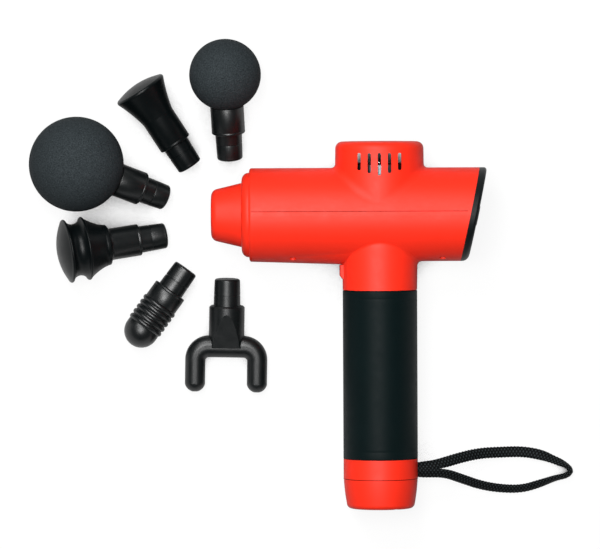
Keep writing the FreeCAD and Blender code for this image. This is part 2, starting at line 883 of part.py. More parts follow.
def crank_bearing():
    half = crank_bearing_width / 2
    ring = pipe("y", crank_bearing_radius, crank_pin_radius + fixed_gap / 2, -half, half, 0, stroke_radius)
    for side in (-1, 1):
        groove = pipe("y", crank_bearing_radius - bearing_ring_thickness,
                      crank_pin_radius + bearing_ring_thickness, side * half,
                      side * (half - bearing_groove_depth), 0, stroke_radius)
        ring = ring.cut(groove)
    return ring


def crank_bolt():
    top = -crank_bearing_width / 2 - free_gap
    head = rod("y", crank_bolt_radius, top - crank_bolt_head, top, 0, stroke_radius)
    drive = rod("y", crank_bolt_radius / 2, top - crank_bolt_head, top - crank_bolt_head / 2, 0, stroke_radius)
    shank = rod("y", crank_bolt_shank, top, crank_bottom - 1 - fixed_gap, 0, stroke_radius)
    return head.cut(drive).fuse(shank)


# ---- Motor ----

def motor_shaft():
    low = crank_bottom + crank_thickness - crank_shaft_engagement
    return rod("y", motor_shaft_radius, low, can_top + 2 * free_gap)


def bearing_bottoms():
    return (deck_top + free_gap, can_top - can_plate - 3 * free_gap - bearing_width)


def motor_base():
    tube_radius = bearing_radius + motor_tube_wall
    tube_top = bearing_bottoms()[1] + bearing_width + fixed_gap
    flange = rod("y", motor_flange_radius, deck_top, flange_top)
    body = flange.fuse(rod("y", tube_radius, deck_top, tube_top))
    cuts = [rod("y", bearing_radius + fixed_gap / 2, low, low + bearing_width) for low in bearing_bottoms()]
    cuts.append(rod("y", bearing_radius - 1, deck_top, tube_top))
    for step in range(4):
        angle = math.radians(45 + 90 * step)
        cuts.append(rod("y", motor_hole_radius, deck_top, flange_top,
                        motor_hole_circle * math.cos(angle), motor_hole_circle * math.sin(angle)))
    return body.cut(cuts[0].multiFuse(cuts[1:]))


def motor_bearings():
    return grouped([pipe("y", bearing_radius, motor_shaft_radius + running_gap, low, low + bearing_width)
                    for low in bearing_bottoms()])


def around_motor(shape, count):
    """Copies of a shape, evenly spaced round the motor's axis."""
    return [spun(shape, "y", 360 / count * step) for step in range(count)]


def stator_tooth():
    shoe_inner = core_radius - tooth_shoe
    web = block(0, shoe_inner, core_low, core_low + core_height, -tooth_width / 2, tooth_width / 2)
    shoe = pipe("y", core_radius, shoe_inner - free_gap, core_low, core_low + core_height)
    sector = wedge(tooth_shoe_angle, core_radius, core_low, core_low + core_height)
    return web.fuse(shoe.common(sector))


def motor_stator():
    tube_radius = bearing_radius + motor_tube_wall
    hub = rod("y", tube_radius + stator_hub_wall, core_low, core_low + core_height)
    core = hub.multiFuse(around_motor(stator_tooth(), tooth_count))
    return core.cut(rod("y", tube_radius + fixed_gap, core_low, core_low + core_height))


def stator_coils():
    start = bearing_radius + motor_tube_wall + stator_hub_wall + free_gap
    end = core_radius - tooth_shoe - 2 * free_gap
    half = tooth_width / 2 + coil_thickness
    low = core_low - coil_overhang
    high = core_low + core_height + coil_overhang
    coil = block(start, end, low, high, -half, half)
    coil = coil.makeFillet(coil_corner, edges_where(coil, lambda p: abs(abs(p.z) - half) < 0.01
                                                    and min(abs(p.y - low), abs(p.y - high)) < 0.01))
    tooth = block(0, 2 * core_radius, core_low, core_low + core_height, -tooth_width / 2, tooth_width / 2)
    return grouped(around_motor(coil.cut(tooth), tooth_count))


def rotor_can():
    inner = can_radius - can_wall
    shell = turned("y", [
        (can_low, inner),
        (can_low, can_radius),
        (can_top - can_corner, can_radius),
        rounded(can_top - can_corner, can_radius - can_corner, can_corner, 90, 0),
        (can_top, motor_shaft_radius + fixed_gap / 2),
        (can_top - can_plate, motor_shaft_radius + fixed_gap / 2),
        (can_top - can_plate, inner),
    ])
    hole = rod("y", can_hole_radius, can_top - 2 * can_plate, can_top + can_plate, can_hole_circle)
    holes = around_motor(hole, can_hole_count)
    return shell.cut(holes[0].multiFuse(holes[1:]))


def rotor_magnets():
    outer = can_radius - can_wall
    inner = outer - magnet_thickness
    low = core_low - 2 * free_gap
    high = core_low + core_height + 2 * free_gap
    sector = wedge(360 / magnet_count - magnet_gap, outer, low, high)
    return grouped(around_motor(pipe("y", outer, inner, low, high).common(sector), magnet_count))


# ---- Release button, battery bay and battery handle ----

def release_button():
    half = button_half_width
    chamfer_top = -button_bottom + button_chamfer
    cap = turned("y", [
        (-button_bottom, keyway_floor),
        (-button_bottom, neck_bottom_radius + free_gap),
        (chamfer_top, button_radius),
        (-button_top, button_radius),
        (-button_top, keyway_floor),
    ])
    cap = cap.common(block(-2 * barrel_radius, -keyway_floor, -neck_end, 0, -half, half))
    cap = cap.cut(rod("y", button_inner_radius, -neck_end, 0))
    flange_low = -button_bottom - button_flange
    flange_high = -button_top + button_flange
    edge = button_flange_half_width
    flange = pipe("y", bay_radius - free_gap, button_inner_radius, flange_low, flange_high)
    flange = flange.common(block(-2 * barrel_radius, -keyway_floor, flange_low, flange_high, -edge, edge))
    return cap.fuse(flange)


def battery_socket():
    half_width = contact_block_width / 2
    half_depth = contact_block_depth / 2
    body = block(-half_width, half_width, -bay_ceiling, -bay_ceiling + contact_block_height,
                 -half_depth, half_depth)
    rim_low = -bay_ceiling + bulkhead_thickness
    rim = block(-half_width - contact_rim, half_width + contact_rim, rim_low,
                rim_low + contact_rim_thickness, -half_depth - contact_rim, half_depth + contact_rim)
    return body.fuse(rim).cut(grouped(blades()))


def blades():
    """The two contact blades that reach down out of the connector."""
    found = []
    for side in (-1, 1):
        middle = side * blade_spread
        found.append(block(middle - blade_thickness / 2, middle + blade_thickness / 2,
                           -bay_ceiling - blade_length, -bay_ceiling + 2 * blade_length,
                           -blade_width / 2, blade_width / 2))
    return found


def keyway(depth_floor, half_width, low):
    """The channel down the front of the battery's tower, for the release button's flange."""
    return block(-2 * case_radius, -depth_floor, low, 0, -half_width, half_width)


def battery_case():
    top = -tower_top
    shoulder = -neck_end - free_gap
    outside = turned("y", [
        (-grip_end, 0),
        (-grip_end, case_radius),
        (shoulder, case_radius),
        (shoulder, tower_radius),
        (top - tower_lead, tower_radius),
        (top, tower_radius - tower_lead),
        (top, 0),
    ])
    outside = outside.cut(keyway(keyway_floor, keyway_half_width, -keyway_bottom))
    hollow_top = top - tower_top_wall
    lower = rod("y", case_radius - case_wall, -grip_end, shoulder - case_wall)
    upper = rod("y", tower_radius - tower_wall, -grip_end, hollow_top)
    upper = upper.cut(keyway(keyway_floor - tower_wall, keyway_half_width + tower_wall,
                             -keyway_bottom - tower_wall))
    slots = []
    for side in (-1, 1):
        middle = side * blade_spread
        half = blade_thickness / 2 + 2 * free_gap
        slots.append(block(middle - half, middle + half, hollow_top, 0,
                           -blade_width / 2 - 2 * free_gap, blade_width / 2 + 2 * free_gap))
    return outside.cut(lower.fuse(upper)).cut(grouped(slots))


def battery_contacts():
    """The two spring clips under the slots in the tower's top."""
    clips = []
    low = -tower_top - tower_top_wall
    for side in (-1, 1):
        middle = side * blade_spread
        half = blade_thickness / 2 + 2 * free_gap
        clips.append(block(middle - half, middle + half, low, low + clip_thickness,
                           -blade_width / 2, blade_width / 2))
    return grouped(clips)


def battery_cells():
    """Six cells, in two layers of three."""
    circle = 2 * (cell_radius + cell_gap / 2) / math.sqrt(3)
    lower = -grip_end + base_ring_spigot + board_thickness + cell_gap
    cells = []
    for layer in range(2):
        start = lower + layer * (cell_length + cell_gap)
        for step in range(3):
            angle = math.radians(120 * step)
            cells.append(rod("y", cell_radius, start, start + cell_length, circle * math.cos(angle),
                             circle * math.sin(angle)))
    return grouped(cells)


def battery_board():
    low = -grip_end + base_ring_spigot
    return rod("y", case_radius - case_wall - 2 * fixed_gap, low, low + board_thickness)


def grip_sleeve():
    low = -grip_end
    high = -neck_end - free_gap
    edge = grip_edge
    return turned("y", [
        (low, case_radius + fixed_gap / 2),
        (low, grip_radius - edge),
        (low + edge, grip_radius),
        (high - edge, grip_radius),
        (high, grip_radius - edge),
        (high, case_radius + fixed_gap / 2),
    ])


def lanyard_slot():
    half = lanyard_pitch / 2 + lanyard_diameter / 2 + free_gap
    height = lanyard_diameter / 2 + 2 * free_gap
    return block(lanyard_slot_floor, 2 * base_ring_radius, -lanyard_height - half, -lanyard_height + half,
                 -height, height)


def base_ring():
    spigot = case_radius - case_wall - fixed_gap
    ring = turned("y", [
        (-base_ring_end, base_ring_bore),
        (-base_ring_end, base_ring_radius),
        (-grip_end, base_ring_radius),
        (-grip_end, spigot),
        (-grip_end + base_ring_spigot, spigot),
        (-grip_end + base_ring_spigot, base_ring_bore),
    ])
    pilots = []
    for x, z in base_screw_places():
        pilots.append(rod("y", base_screw_radius + fixed_gap, -base_ring_end,
                          -base_ring_end + base_screw_reach + 1, x, z))
    return ring.cut(lanyard_slot()).cut(grouped(pilots))


def lanyard_bar():
    """The flat bar at the bottom of the slot, which the lanyard is sewn round."""
    half = lanyard_pitch / 2 + lanyard_diameter / 2 + free_gap
    height = lanyard_diameter / 2 + 2 * free_gap
    return block(lanyard_slot_floor, lanyard_slot_floor + lanyard_bar_thickness,
                 -lanyard_height - half, -lanyard_height + half, -height, height)


def base_screw_places():
    return [(base_screw_circle * math.cos(math.radians(angle)), base_screw_circle * math.sin(math.radians(angle)))
            for angle in base_screw_angles]


def base_cap():
    middle = (base_ring_end + base_cap_end) / 2
    outside = turned("y", [
        (-base_ring_end, 0),
        (-base_ring_end, base_cap_top_radius),
        ((-middle, base_cap_middle_radius), (-base_cap_end, base_cap_bottom_radius)),
        (-base_cap_end, 0),
    ])
    outside = outside.makeFillet(base_cap_edge, edges_where(
        outside, lambda p: abs(p.y + base_cap_end) < 0.01 and math.hypot(p.x, p.z) > 1))
    hollow = rod("y", base_cap_bottom_radius - base_cap_wall, -base_cap_end + base_cap_floor, -base_ring_end)
    bosses = [rod("y", base_screw_boss_radius, -base_cap_end + base_cap_floor, -base_ring_end, x, z)
              for x, z in base_screw_places()]
    hollow = hollow.cut(bosses[0].multiFuse(bosses[1:]))
    cuts = [rocker_body(fixed_gap), rocker_flange_block(0, rocker_inset + rocker_flange, fixed_gap)]
    cuts.append(rod("y", jack_radius + fixed_gap, -base_cap_end, -base_ring_end, jack_offset))
    cuts.append(rod("y", light_radius + fixed_gap, -base_cap_end, -base_ring_end, jack_offset, light_spread))
    for x, z in base_screw_places():
        seat = -base_cap_end + base_screw_seat
        cuts.append(rod("y", base_screw_head_radius + 2 * fixed_gap, -base_cap_end, seat, x, z))
        cuts.append(rod("y", base_screw_radius + fixed_gap, seat, -base_ring_end, x, z))
    return outside.cut(hollow).cut(cuts[0].multiFuse(cuts[1:]))


def base_screws():
    seat = -base_cap_end + base_screw_seat
    screws = []
    for x, z in base_screw_places():
        low = seat - base_screw_head
        head = rod("y", base_screw_head_radius, low, seat, x, z)
        drive = rod("y", base_screw_head_radius / 2, low, low + base_screw_head / 2, x, z)
        shank = rod("y", base_screw_radius, seat, -base_ring_end + base_screw_reach, x, z)
        screws.append(head.cut(drive).fuse(shank))
    return grouped(screws)


# ---- Switch, socket and light in the base cap ----

def rocker_block(half_width, half_length, low, high):
    """A block round the rocker's middle; low and high are depths in from the cap's face."""
    return block(-rocker_offset - half_width, -rocker_offset + half_width, -base_cap_end + low,
                 -base_cap_end + high, -half_length, half_length)


def rocker_body(gap=0.0):
    """The outside of the part of the rocker's frame that goes into the cap."""
    return rocker_block(rocker_frame_width / 2 - rocker_side + gap,
                        rocker_frame_length / 2 - rocker_side + gap,
                        rocker_inset, rocker_inset + rocker_frame_depth)


def rocker_flange_block(low, high, gap=0.0):
    """The frame's flange, or the recess for it, with its four rounded corners."""
    half_width = rocker_frame_width / 2 + gap
    half_length = rocker_frame_length / 2 + gap
    flange = rocker_block(half_width, half_length, low, high)
    corners = edges_where(flange, lambda p: abs(abs(p.z) - half_length) < 0.01
                          and abs(abs(p.x + rocker_offset) - half_width) < 0.01)
    return flange.makeFillet(rocker_corner, corners)


def rocker_frame():
    flange = rocker_flange_block(rocker_inset, rocker_inset + rocker_flange)
    inner_width = rocker_frame_width / 2 - rocker_frame_border
    inner_length = rocker_frame_length / 2 - rocker_frame_border
    well = rocker_block(inner_width, inner_length, rocker_inset,
                        rocker_inset + rocker_frame_depth - rocker_floor)
    return flange.fuse(rocker_body()).cut(well).cut(rocker_pin(running_gap, fixed_gap))


def rocker_pivot():
    """Height of the rocker's pivot on the handle's axis."""
    return -base_cap_end + rocker_inset + rocker_pivot_depth


def rocker_half_width():
    return rocker_frame_width / 2 - rocker_frame_border - free_gap


def rocker_pin(gap=0.0, end_gap=0.0):
    """The pivot pin that sticks out of both sides of the rocker, or its bores in the frame."""
    reach = rocker_half_width() + rocker_pin_reach + end_gap
    return rod("x", rocker_pin_radius + gap, -rocker_offset - reach, -rocker_offset + reach, rocker_pivot())


def power_rocker():
    """A bent two-faced key that turns about X across its middle; drawn switched off."""
    half_length = rocker_frame_length / 2 - rocker_frame_border - free_gap
    half_width = rocker_half_width()
    pivot = rocker_pivot()
    face = -base_cap_end + rocker_inset
    half_throw = rocker_throw / 2
    dip = half_length * math.tan(math.radians(half_throw))
    outline = [
        (-half_length + free_gap, face - dip * 0.6),
        ((0, face + dip * 0.35), (half_length - free_gap, face - dip * 0.6)),
        (half_length - 2 * free_gap, pivot),
        (rocker_foot, pivot + rocker_foot),
        (-rocker_foot, pivot + rocker_foot),
        (-half_length + 2 * free_gap, pivot),
    ]
    key = flat_face(outline, lambda z, y: FreeCAD.Vector(-rocker_offset - half_width, y, z))
    key = key.extrude(FreeCAD.Vector(2 * half_width, 0, 0))
    key.rotate(FreeCAD.Vector(0, pivot, 0), directions["x"], half_throw)
    return key.fuse(rocker_pin())


def charge_jack():
    body = rod("y", jack_radius, -base_cap_end, -base_cap_end + jack_depth + jack_floor, jack_offset)
    bore = rod("y", jack_bore_radius, -base_cap_end, -base_cap_end + jack_depth, jack_offset)
    pin = rod("y", jack_pin_radius, -base_cap_end + jack_pin_inset, -base_cap_end + jack_depth, jack_offset)
    return body.cut(bore).fuse(pin)


def charge_light():
    return rod("y", light_radius, -base_cap_end, -base_cap_end + base_cap_floor + 1, jack_offset, light_spread)


# ---- Lanyard ----

def lanyard_wire(points):
    """Straight runs joined by tangent arcs, each as large as its two runs allow."""
    edges = []
    radii = []
    last = points[0]
    for before, corner, after in zip(points, points[1:], points[2:]):
        toward = (before - corner).normalize()
        away = (after - corner).normalize()
        turn = math.pi - toward.getAngle(away)
        reach = 0.45 * min((before - corner).Length, (after - corner).Length)
        radius = reach / math.tan(turn / 2)
        bisector = (toward + away).normalize()
        middle = corner + bisector * (math.hypot(reach, radius) - radius)
        start = corner + toward * reach
        end = corner + away * reach
        edges.append(Part.LineSegment(last, start).toShape())
        edges.append(Part.Arc(start, middle, end).toShape())
        radii.append(radius)
        last = end
    edges.append(Part.LineSegment(last, points[-1]).toShape())
    return Part.Wire(edges), radii


def lanyard_points():
    """The whole route: straight out of the slot, round the loop and straight back in."""
    slot = lay_gun(Part.Vertex(0, -lanyard_height, 0)).Point
    loop = [FreeCAD.Vector(slot.x + x, slot.y + y, z) for x, y, z in lanyard_loop]
    ends = []
    for side in (1, -1):
        middle = lay_gun(Part.Vertex(0, -lanyard_height + side * lanyard_pitch / 2, 0)).Point
        sewn = FreeCAD.Vector(lanyard_slot_floor + lanyard_bar_thickness, middle.y, middle.z)
        ends.append([sewn, FreeCAD.Vector(lanyard_lead, middle.y, middle.z)])
    return ends[0] + loop + ends[1][::-1]


def lanyard():
    points = lanyard_points()
    wire, radii = lanyard_wire(points)
    circle = Part.Wire(Part.makeCircle(lanyard_diameter / 2, points[0], points[1] - points[0]))
    tube = wire.makePipeShell([circle], True, False, 2)
    section = math.pi * lanyard_diameter ** 2 / 4
    print("lanyard length", round(wire.Length, 1), "volume over section times length",
          round(tube.Volume / (section * wire.Length), 4))
    print("lanyard radii", [round(radius, 1) for radius in radii])
    return tube


# ---- Massage heads ----

def shank(collar_end, radius=None):
    """The outline from the end of a head's collar to the tip of its shank."""
    collar = collar_radius if radius is None else radius
    tip = collar_end + shank_length
    taper = (shank_root_radius - shank_tip_radius) / shank_length
    groove_start = collar_end + shank_groove_offset
    groove_end = groove_start + shank_groove_width
    groove_radius = shank_root_radius - taper * shank_groove_offset - shank_groove_depth
    corner = shank_tip_corner
    return [
        (collar_end - collar_chamfer, collar),
        (collar_end, collar - collar_chamfer),
        (collar_end, shank_root_radius),
        (groove_start, shank_root_radius - taper * shank_groove_offset),
        (groove_start, groove_radius),
        (groove_end, groove_radius),
        (groove_end, groove_radius + shank_groove_depth),
        (tip - corner, shank_tip_radius),
        rounded(tip - corner, shank_tip_radius - corner, corner, 90, 0),
        (tip, 0),
    ]


def ball(radius):
    """A foam ball with the socket for its stem."""
    foam = Part.makeSphere(radius)
    return foam.cut(rod("x", shank_root_radius + fixed_gap, radius - ball_socket_depth, 2 * radius))


def ball_stem(radius, collar_end):
    """The stem: a spigot in the foam, a flared foot against the ball, a collar and the shank."""
    inside = radius - ball_socket_depth + fixed_gap
    foot = math.sqrt(radius ** 2 - collar_radius ** 2) + fixed_gap
    seat = math.sqrt(radius ** 2 - shank_root_radius ** 2) + fixed_gap
    middle_radius = (collar_radius + shank_root_radius) / 2
    touch = math.sqrt((radius + fixed_gap) ** 2 - middle_radius ** 2)
    return turned("x", [
        (inside, 0),
        (inside, shank_root_radius),
        (seat, shank_root_radius),
        ((touch, middle_radius), (foot, collar_radius)),
    ] + shank(collar_end))


def bell_head():
    """A flared head with a domed face."""
    return turned("x", [
        (-bell_dome, 0),
        (dome(0, bell_radius - bell_rim, -bell_dome)[0], (0, bell_radius - bell_rim)),
        rounded(bell_rim, bell_radius - bell_rim, bell_rim, 180, 60),
        ((bell_flare_station, bell_flare_radius), (bell_neck_station, collar_radius)),
    ] + shank(bell_collar_end))


def cushion_bellows():
    """A rubber cushion with a domed face that ends in a thin lip, a valley and a second ridge."""
    lip = cushion_lip
    edge = cushion_radius - lip
    ridge = cushion_ridge_station
    valley = (lip + ridge) / 2
    end = cushion_end_station
    seat = end - cushion_socket_depth
    hollow_station = (ridge + end) / 2 - cushion_hollow / 2
    hollow_radius = (cushion_radius + cushion_end_radius) / 2 - cushion_hollow / 2
    return turned("x", [
        (-cushion_dome, 0),
        (dome(0, edge, -cushion_dome)[0], (0, edge)),
        ((lip, cushion_radius), (2 * lip, edge)),
        ((valley, cushion_valley_radius), (ridge - lip, edge)),
        ((ridge, cushion_radius), (ridge + lip, edge)),
        ((hollow_station, hollow_radius), (end, cushion_end_radius)),
        (end, shank_root_radius + fixed_gap),
        (seat, shank_root_radius + fixed_gap),
        (seat, 0),
    ])


def cushion_stem():
    end = cushion_end_station
    seat = end - cushion_socket_depth + fixed_gap
    return turned("x", [
        (seat, 0),
        (seat, shank_root_radius),
        (end, shank_root_radius),
        (end, cushion_end_radius),
        (end + cushion_stem_flare, cushion_collar_radius),
    ] + shank(cushion_collar_end, cushion_collar_radius))


def ribbed_head():
    """A bullet with a round nose and rings round its body."""
    outline = [(-ribbed_radius, 0), rounded(0, 0, ribbed_radius, 180, 90)]
    for step in range(rib_count):
        start = rib_start + step * rib_pitch
        crest = (start + rib_pitch * 0.45, ribbed_radius + rib_height)
        outline.append((start, ribbed_radius))
        outline.append((crest, (start + rib_pitch * 0.9, ribbed_radius)))
    return turned("x", outline + shank(ribbed_collar_end, ribbed_radius))


def fork_head():
    """Two tines on a bar, with a collar that has flat facets on both sides."""
    bar_low = fork_tine_length
    bar_high = bar_low + fork_bar_height
    collar_end = bar_high + fork_collar_length
    half_width = fork_width / 2
    tine_spread = half_width - fork_tine_radius
    gap = tine_spread - fork_tine_radius
    plate = block(0, bar_high, -half_width, half_width, -fork_tine_radius, fork_tine_radius)

    def outer_corner(p):
        return abs(p.x - bar_high) < 0.01 and abs(abs(p.y) - half_width) < 0.01
    plate = plate.makeFillet(fork_outer_corner, edges_where(plate, outer_corner))
    notch = block(-1, bar_low, -gap, gap, -2 * fork_tine_radius, 2 * fork_tine_radius)

    def inner_corner(p):
        return abs(p.x - bar_low) < 0.01 and abs(abs(p.y) - gap) < 0.01
    notch = notch.makeFillet(fork_inner_corner, edges_where(notch, inner_corner))
    fork = plate.cut(notch)
    rounding = fork_tine_radius - 0.5

    def long_edge(p):
        return abs(abs(p.z) - fork_tine_radius) < 0.01 and (abs(p.y) < half_width - 0.01 or p.x < bar_high)
    fork = fork.makeFillet(rounding, [edge for edge in edges_where(fork, long_edge) if edge.Length > 1])
    for side in (-1, 1):
        tip = block(-1, fork_tine_radius, side * tine_spread - 2 * fork_tine_radius,
                    side * tine_spread + 2 * fork_tine_radius, -2 * fork_tine_radius, 2 * fork_tine_radius)
        end = Part.makeSphere(fork_tine_radius + fork_tip_ease, FreeCAD.Vector(fork_tine_radius, side * tine_spread, 0))
        fork = fork.cut(tip.cut(end))
    collar = turned("x", [(bar_low + fork_tine_radius, 0), (bar_low + fork_tine_radius, fork_collar_radius)]
                    + shank(collar_end, fork_collar_radius))
    facet_end = collar_end - fork_facet_offset
    for side in (-1, 1):
        slant = flat_face([
            (facet_end, side * fork_collar_radius),
            (bar_low, side * (fork_tine_radius - 0.4)),
            (bar_low, side * 2 * fork_collar_radius),
            (facet_end, side * 2 * fork_collar_radius),
        ], lambda x, z: FreeCAD.Vector(x, -fork_collar_radius - 1, z))
        collar = collar.cut(slant.extrude(FreeCAD.Vector(0, 2 * fork_collar_radius + 2, 0)))
    return fork.fuse(collar)


# ---- Laying everything on the table ----

def lever_tilt(reach, end_radius, high_radius):
    """Tilt in degrees of a round body that rests on a high part and, a reach away, on a thin end."""
    whole = math.hypot(reach, end_radius)
    return math.degrees(math.asin(high_radius / whole) - math.atan2(end_radius, reach))


gun_tilt = lever_tilt(base_ring_end, base_ring_radius, barrel_radius)


def lay_gun(shape):
    laid = shape.copy()
    laid.rotate(origin, directions["x"], gun_tilt)
    laid.translate(FreeCAD.Vector(0, 0, barrel_radius))
    return laid


def head_tilts():
    """How far the shank of each head dips, in degrees."""
    bell_tip = bell_collar_end + shank_length
    cushion_tip = cushion_collar_end + shank_length
    fork_collar_end = fork_tine_length + fork_bar_height + fork_collar_length
    fork_reach = fork_collar_end - fork_facet_offset - 1
    return {
        "large_ball": lever_tilt(large_ball_collar_end + shank_length, shank_tip_radius, large_ball_radius),
        "small_ball": lever_tilt(small_ball_collar_end + shank_length, shank_tip_radius, small_ball_radius),
        "bell": math.degrees(math.atan((bell_radius - shank_tip_radius) / bell_tip)),
        "cushion": math.degrees(math.atan((cushion_radius - shank_tip_radius)
                                          / (cushion_tip - cushion_ridge_station))),
        "ribbed": 0.0,
        "fork": -math.degrees(math.atan((fork_collar_radius - fork_tine_radius) / fork_reach)),
    }


def lay_head(name, shapes):
    """Dips, turns and lowers the pieces of one head onto its place on the table."""
    x, y, heading = head_places[name]
    laid = []
    for shape in shapes:
        copy = spun(spun(shape, "y", head_tilts()[name]), "z", heading)
        copy.translate(FreeCAD.Vector(x, y, 0))
        laid.append(copy)
    lowest = min(shape.optimalBoundingBox(False).ZMin for shape in laid)
    for shape in laid:
        shape.translate(FreeCAD.Vector(0, 0, -lowest))
    return laid


def gun_pieces():
    whole = housing_whole()
    return {
        "upper_housing": upper_housing(whole),
        "lower_housing": lower_housing(whole),
        "front_ring": front_ring(),
        "nose_cone": nose_cone(),
        "rear_bezel": rear_bezel(),
        "display_lens": display_lens(),
        "control_board": control_board(),
        "housing_screws": housing_screws(),
        "mechanism_frame": mechanism_frame(),
        "frame_screws": frame_screws(),
        "front_bushing": front_bushing(),
        "guide_rods": guide_rods(),
        "motor_base": motor_base(),
        "motor_bearings": motor_bearings(),
        "motor_stator": motor_stator(),
        "stator_coils": stator_coils(),
        "rotor_can": rotor_can(),
        "rotor_magnets": rotor_magnets(),
        "motor_shaft": motor_shaft(),
        "crank": crank(),
        "crank_bearing": crank_bearing(),
        "crank_bolt": crank_bolt(),
        "yoke": yoke(),
        "yoke_bushes": yoke_bushes(),
        "piston_rod": piston_rod(),
        "piston_tube": piston_tube(),
        "socket_ring": socket_ring(),
        "speed_button": speed_button(),
        "release_button": release_button(),
        "battery_socket": battery_socket(),
        "socket_contacts": grouped(blades()),
        "battery_case": battery_case(),
        "battery_contacts": battery_contacts(),
        "battery_cells": battery_cells(),
        "battery_board": battery_board(),
        "grip_sleeve": grip_sleeve(),
        "base_ring": base_ring(),
        "base_cap": base_cap(),
        "base_screws": base_screws(),
        "rocker_frame": rocker_frame(),
        "power_rocker": power_rocker(),
        "charge_jack": charge_jack(),
        "charge_light": charge_light(),
        "lanyard_bar": lanyard_bar(),
    }


def head_pieces():
    return {
        "large_ball": {
            "large_ball": ball(large_ball_radius),
            "large_ball_stem": ball_stem(large_ball_radius, large_ball_collar_end),
        },
        "small_ball": {
            "small_ball": ball(small_ball_radius),
            "small_ball_stem": ball_stem(small_ball_radius, small_ball_collar_end),
        },
        "bell": {"bell_head": bell_head()},
        "cushion": {"cushion_bellows": cushion_bellows(), "cushion_stem": cushion_stem()},
        "ribbed": {"ribbed_head": ribbed_head()},
        "fork": {"fork_head": fork_head()},
    }


def all_pieces():
    """Every piece on the table, and the move that brings the origin under the middle of it all."""
    pieces = {name: lay_gun(shape) for name, shape in gun_pieces().items()}
    for head, parts in head_pieces().items():
        for name, shape in zip(parts, lay_head(head, list(parts.values()))):
            pieces[name] = shape
    box = FreeCAD.BoundBox()
    for shape in pieces.values():
        box.add(shape.optimalBoundingBox(False))
    pieces["lanyard"] = lanyard()
    shift = FreeCAD.Vector(-box.Center.x, -box.Center.y, 0)
    for shape in pieces.values():
        shape.translate(shift)
    return pieces, shift


pieces, shift = all_pieces()
os.makedirs("parts", exist_ok=True)
for name, shape in pieces.items():
    shape.exportStep("parts/" + name + ".step")
print(len(pieces), "pieces; the gun's axes cross at", round(shift.x, 3), round(shift.y, 3))
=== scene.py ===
import bpy
import bmesh
import json
import math
from mathutils import Matrix, Vector, noise


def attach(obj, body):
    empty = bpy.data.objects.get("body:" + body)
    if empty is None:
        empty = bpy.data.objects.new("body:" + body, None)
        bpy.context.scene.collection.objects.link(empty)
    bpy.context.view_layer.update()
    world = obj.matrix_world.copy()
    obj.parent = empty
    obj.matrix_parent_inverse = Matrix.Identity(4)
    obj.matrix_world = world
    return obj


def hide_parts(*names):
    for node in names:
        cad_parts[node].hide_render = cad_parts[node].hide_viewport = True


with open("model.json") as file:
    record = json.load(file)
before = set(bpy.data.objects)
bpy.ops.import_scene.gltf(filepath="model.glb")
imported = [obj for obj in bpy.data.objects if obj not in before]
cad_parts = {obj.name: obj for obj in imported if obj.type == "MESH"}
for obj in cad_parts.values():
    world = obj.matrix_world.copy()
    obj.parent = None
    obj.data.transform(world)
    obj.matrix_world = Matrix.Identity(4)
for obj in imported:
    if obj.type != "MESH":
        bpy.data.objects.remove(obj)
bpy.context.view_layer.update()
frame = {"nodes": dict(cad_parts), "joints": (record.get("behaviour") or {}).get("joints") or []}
mm = 0.001


def toLinear(code):
    channels = [int(code[k:k + 2], 16) / 255 for k in (1, 3, 5)]
    return [c / 12.92 if c <= 0.04045 else ((c + 0.055) / 1.055) ** 2.4 for c in channels] + [1.0]


def addNode(tree, kind, settings=None, links=None):
    node = tree.nodes.new(kind)
    for name, value in (settings or {}).items():
        if isinstance(name, int) or name in node.inputs:
            node.inputs[name].default_value = value
        else:
            setattr(node, name, value)
    for name, source in (links or {}).items():
        tree.links.new(source, node.inputs[name])
    return node


def startMaterial(name, colour, roughness, settings=None):
    material = bpy.data.materials.new(name)
    material.use_nodes = True
    tree = material.node_tree
    shader = tree.nodes["Principled BSDF"]
    shader.inputs["Base Color"].default_value = toLinear(colour)
    shader.inputs["Roughness"].default_value = roughness
    for socket, value in (settings or {}).items():
        shader.inputs[socket].default_value = value
    where = addNode(tree, "ShaderNodeTexCoord").outputs["Object"]
    return material, tree, shader, where


def setFaces(material, *pieces):
    for piece in pieces:
        piece.data.materials.clear()
        piece.data.materials.append(material)


# Where the gun and the heads lie on the table
crankJoint = next(j for j in frame["joints"] if j["name"] == "crank_turn")
crossing = Vector(crankJoint["pos_m"])                  # where the barrel's and the handle's axes meet
gunUp = Vector(crankJoint["axis"]).normalized()         # along the handle, toward the motor hump
gunPlace = Matrix.Translation(crossing) @ Matrix((
    (1, 0, 0, 0), (0, gunUp.y, -gunUp.z, 0), (0, gunUp.z, gunUp.y, 0), (0, 0, 0, 1)))

headPlaces = {      # x, y and z in mm, then the heading and the dip of the shank in degrees
    "largeBall": (-116.178, 70.976, 30.4, -20.9, 20.666),
    "smallBall": (-20.778, 128.076, 23.0, -87.2, 15.677),
    "bell": (-76.278, 120.076, 17.379, -57.2, 8.540),
    "cushion": (-123.378, 15.076, 22.831, 9.1, 12.995),
    "ribbed": (-75.578, -35.924, 12.0, 54.0, 0.0),
    "fork": (-21.578, -75.724, 6.371, 88.8, -5.619),
}


def headPlace(name):
    x, y, z, heading, dip = headPlaces[name]
    turn = Matrix.Rotation(math.radians(heading), 4, "Z") @ Matrix.Rotation(math.radians(dip), 4, "Y")
    return Matrix.Translation(Vector((x, y, z)) * mm) @ turn


handlePlace = gunPlace @ Matrix.Rotation(math.radians(90), 4, "Z")      # x runs up the handle
rearFace = {"station": 57.8, "lean": 11.8}      # mm along the barrel from the handle's axis, and degrees
rearPlace = gunPlace @ Matrix.Translation((rearFace["station"] * mm, 0, 0)) @ Matrix.Rotation(
    math.radians(-rearFace["lean"]), 4, "Z")


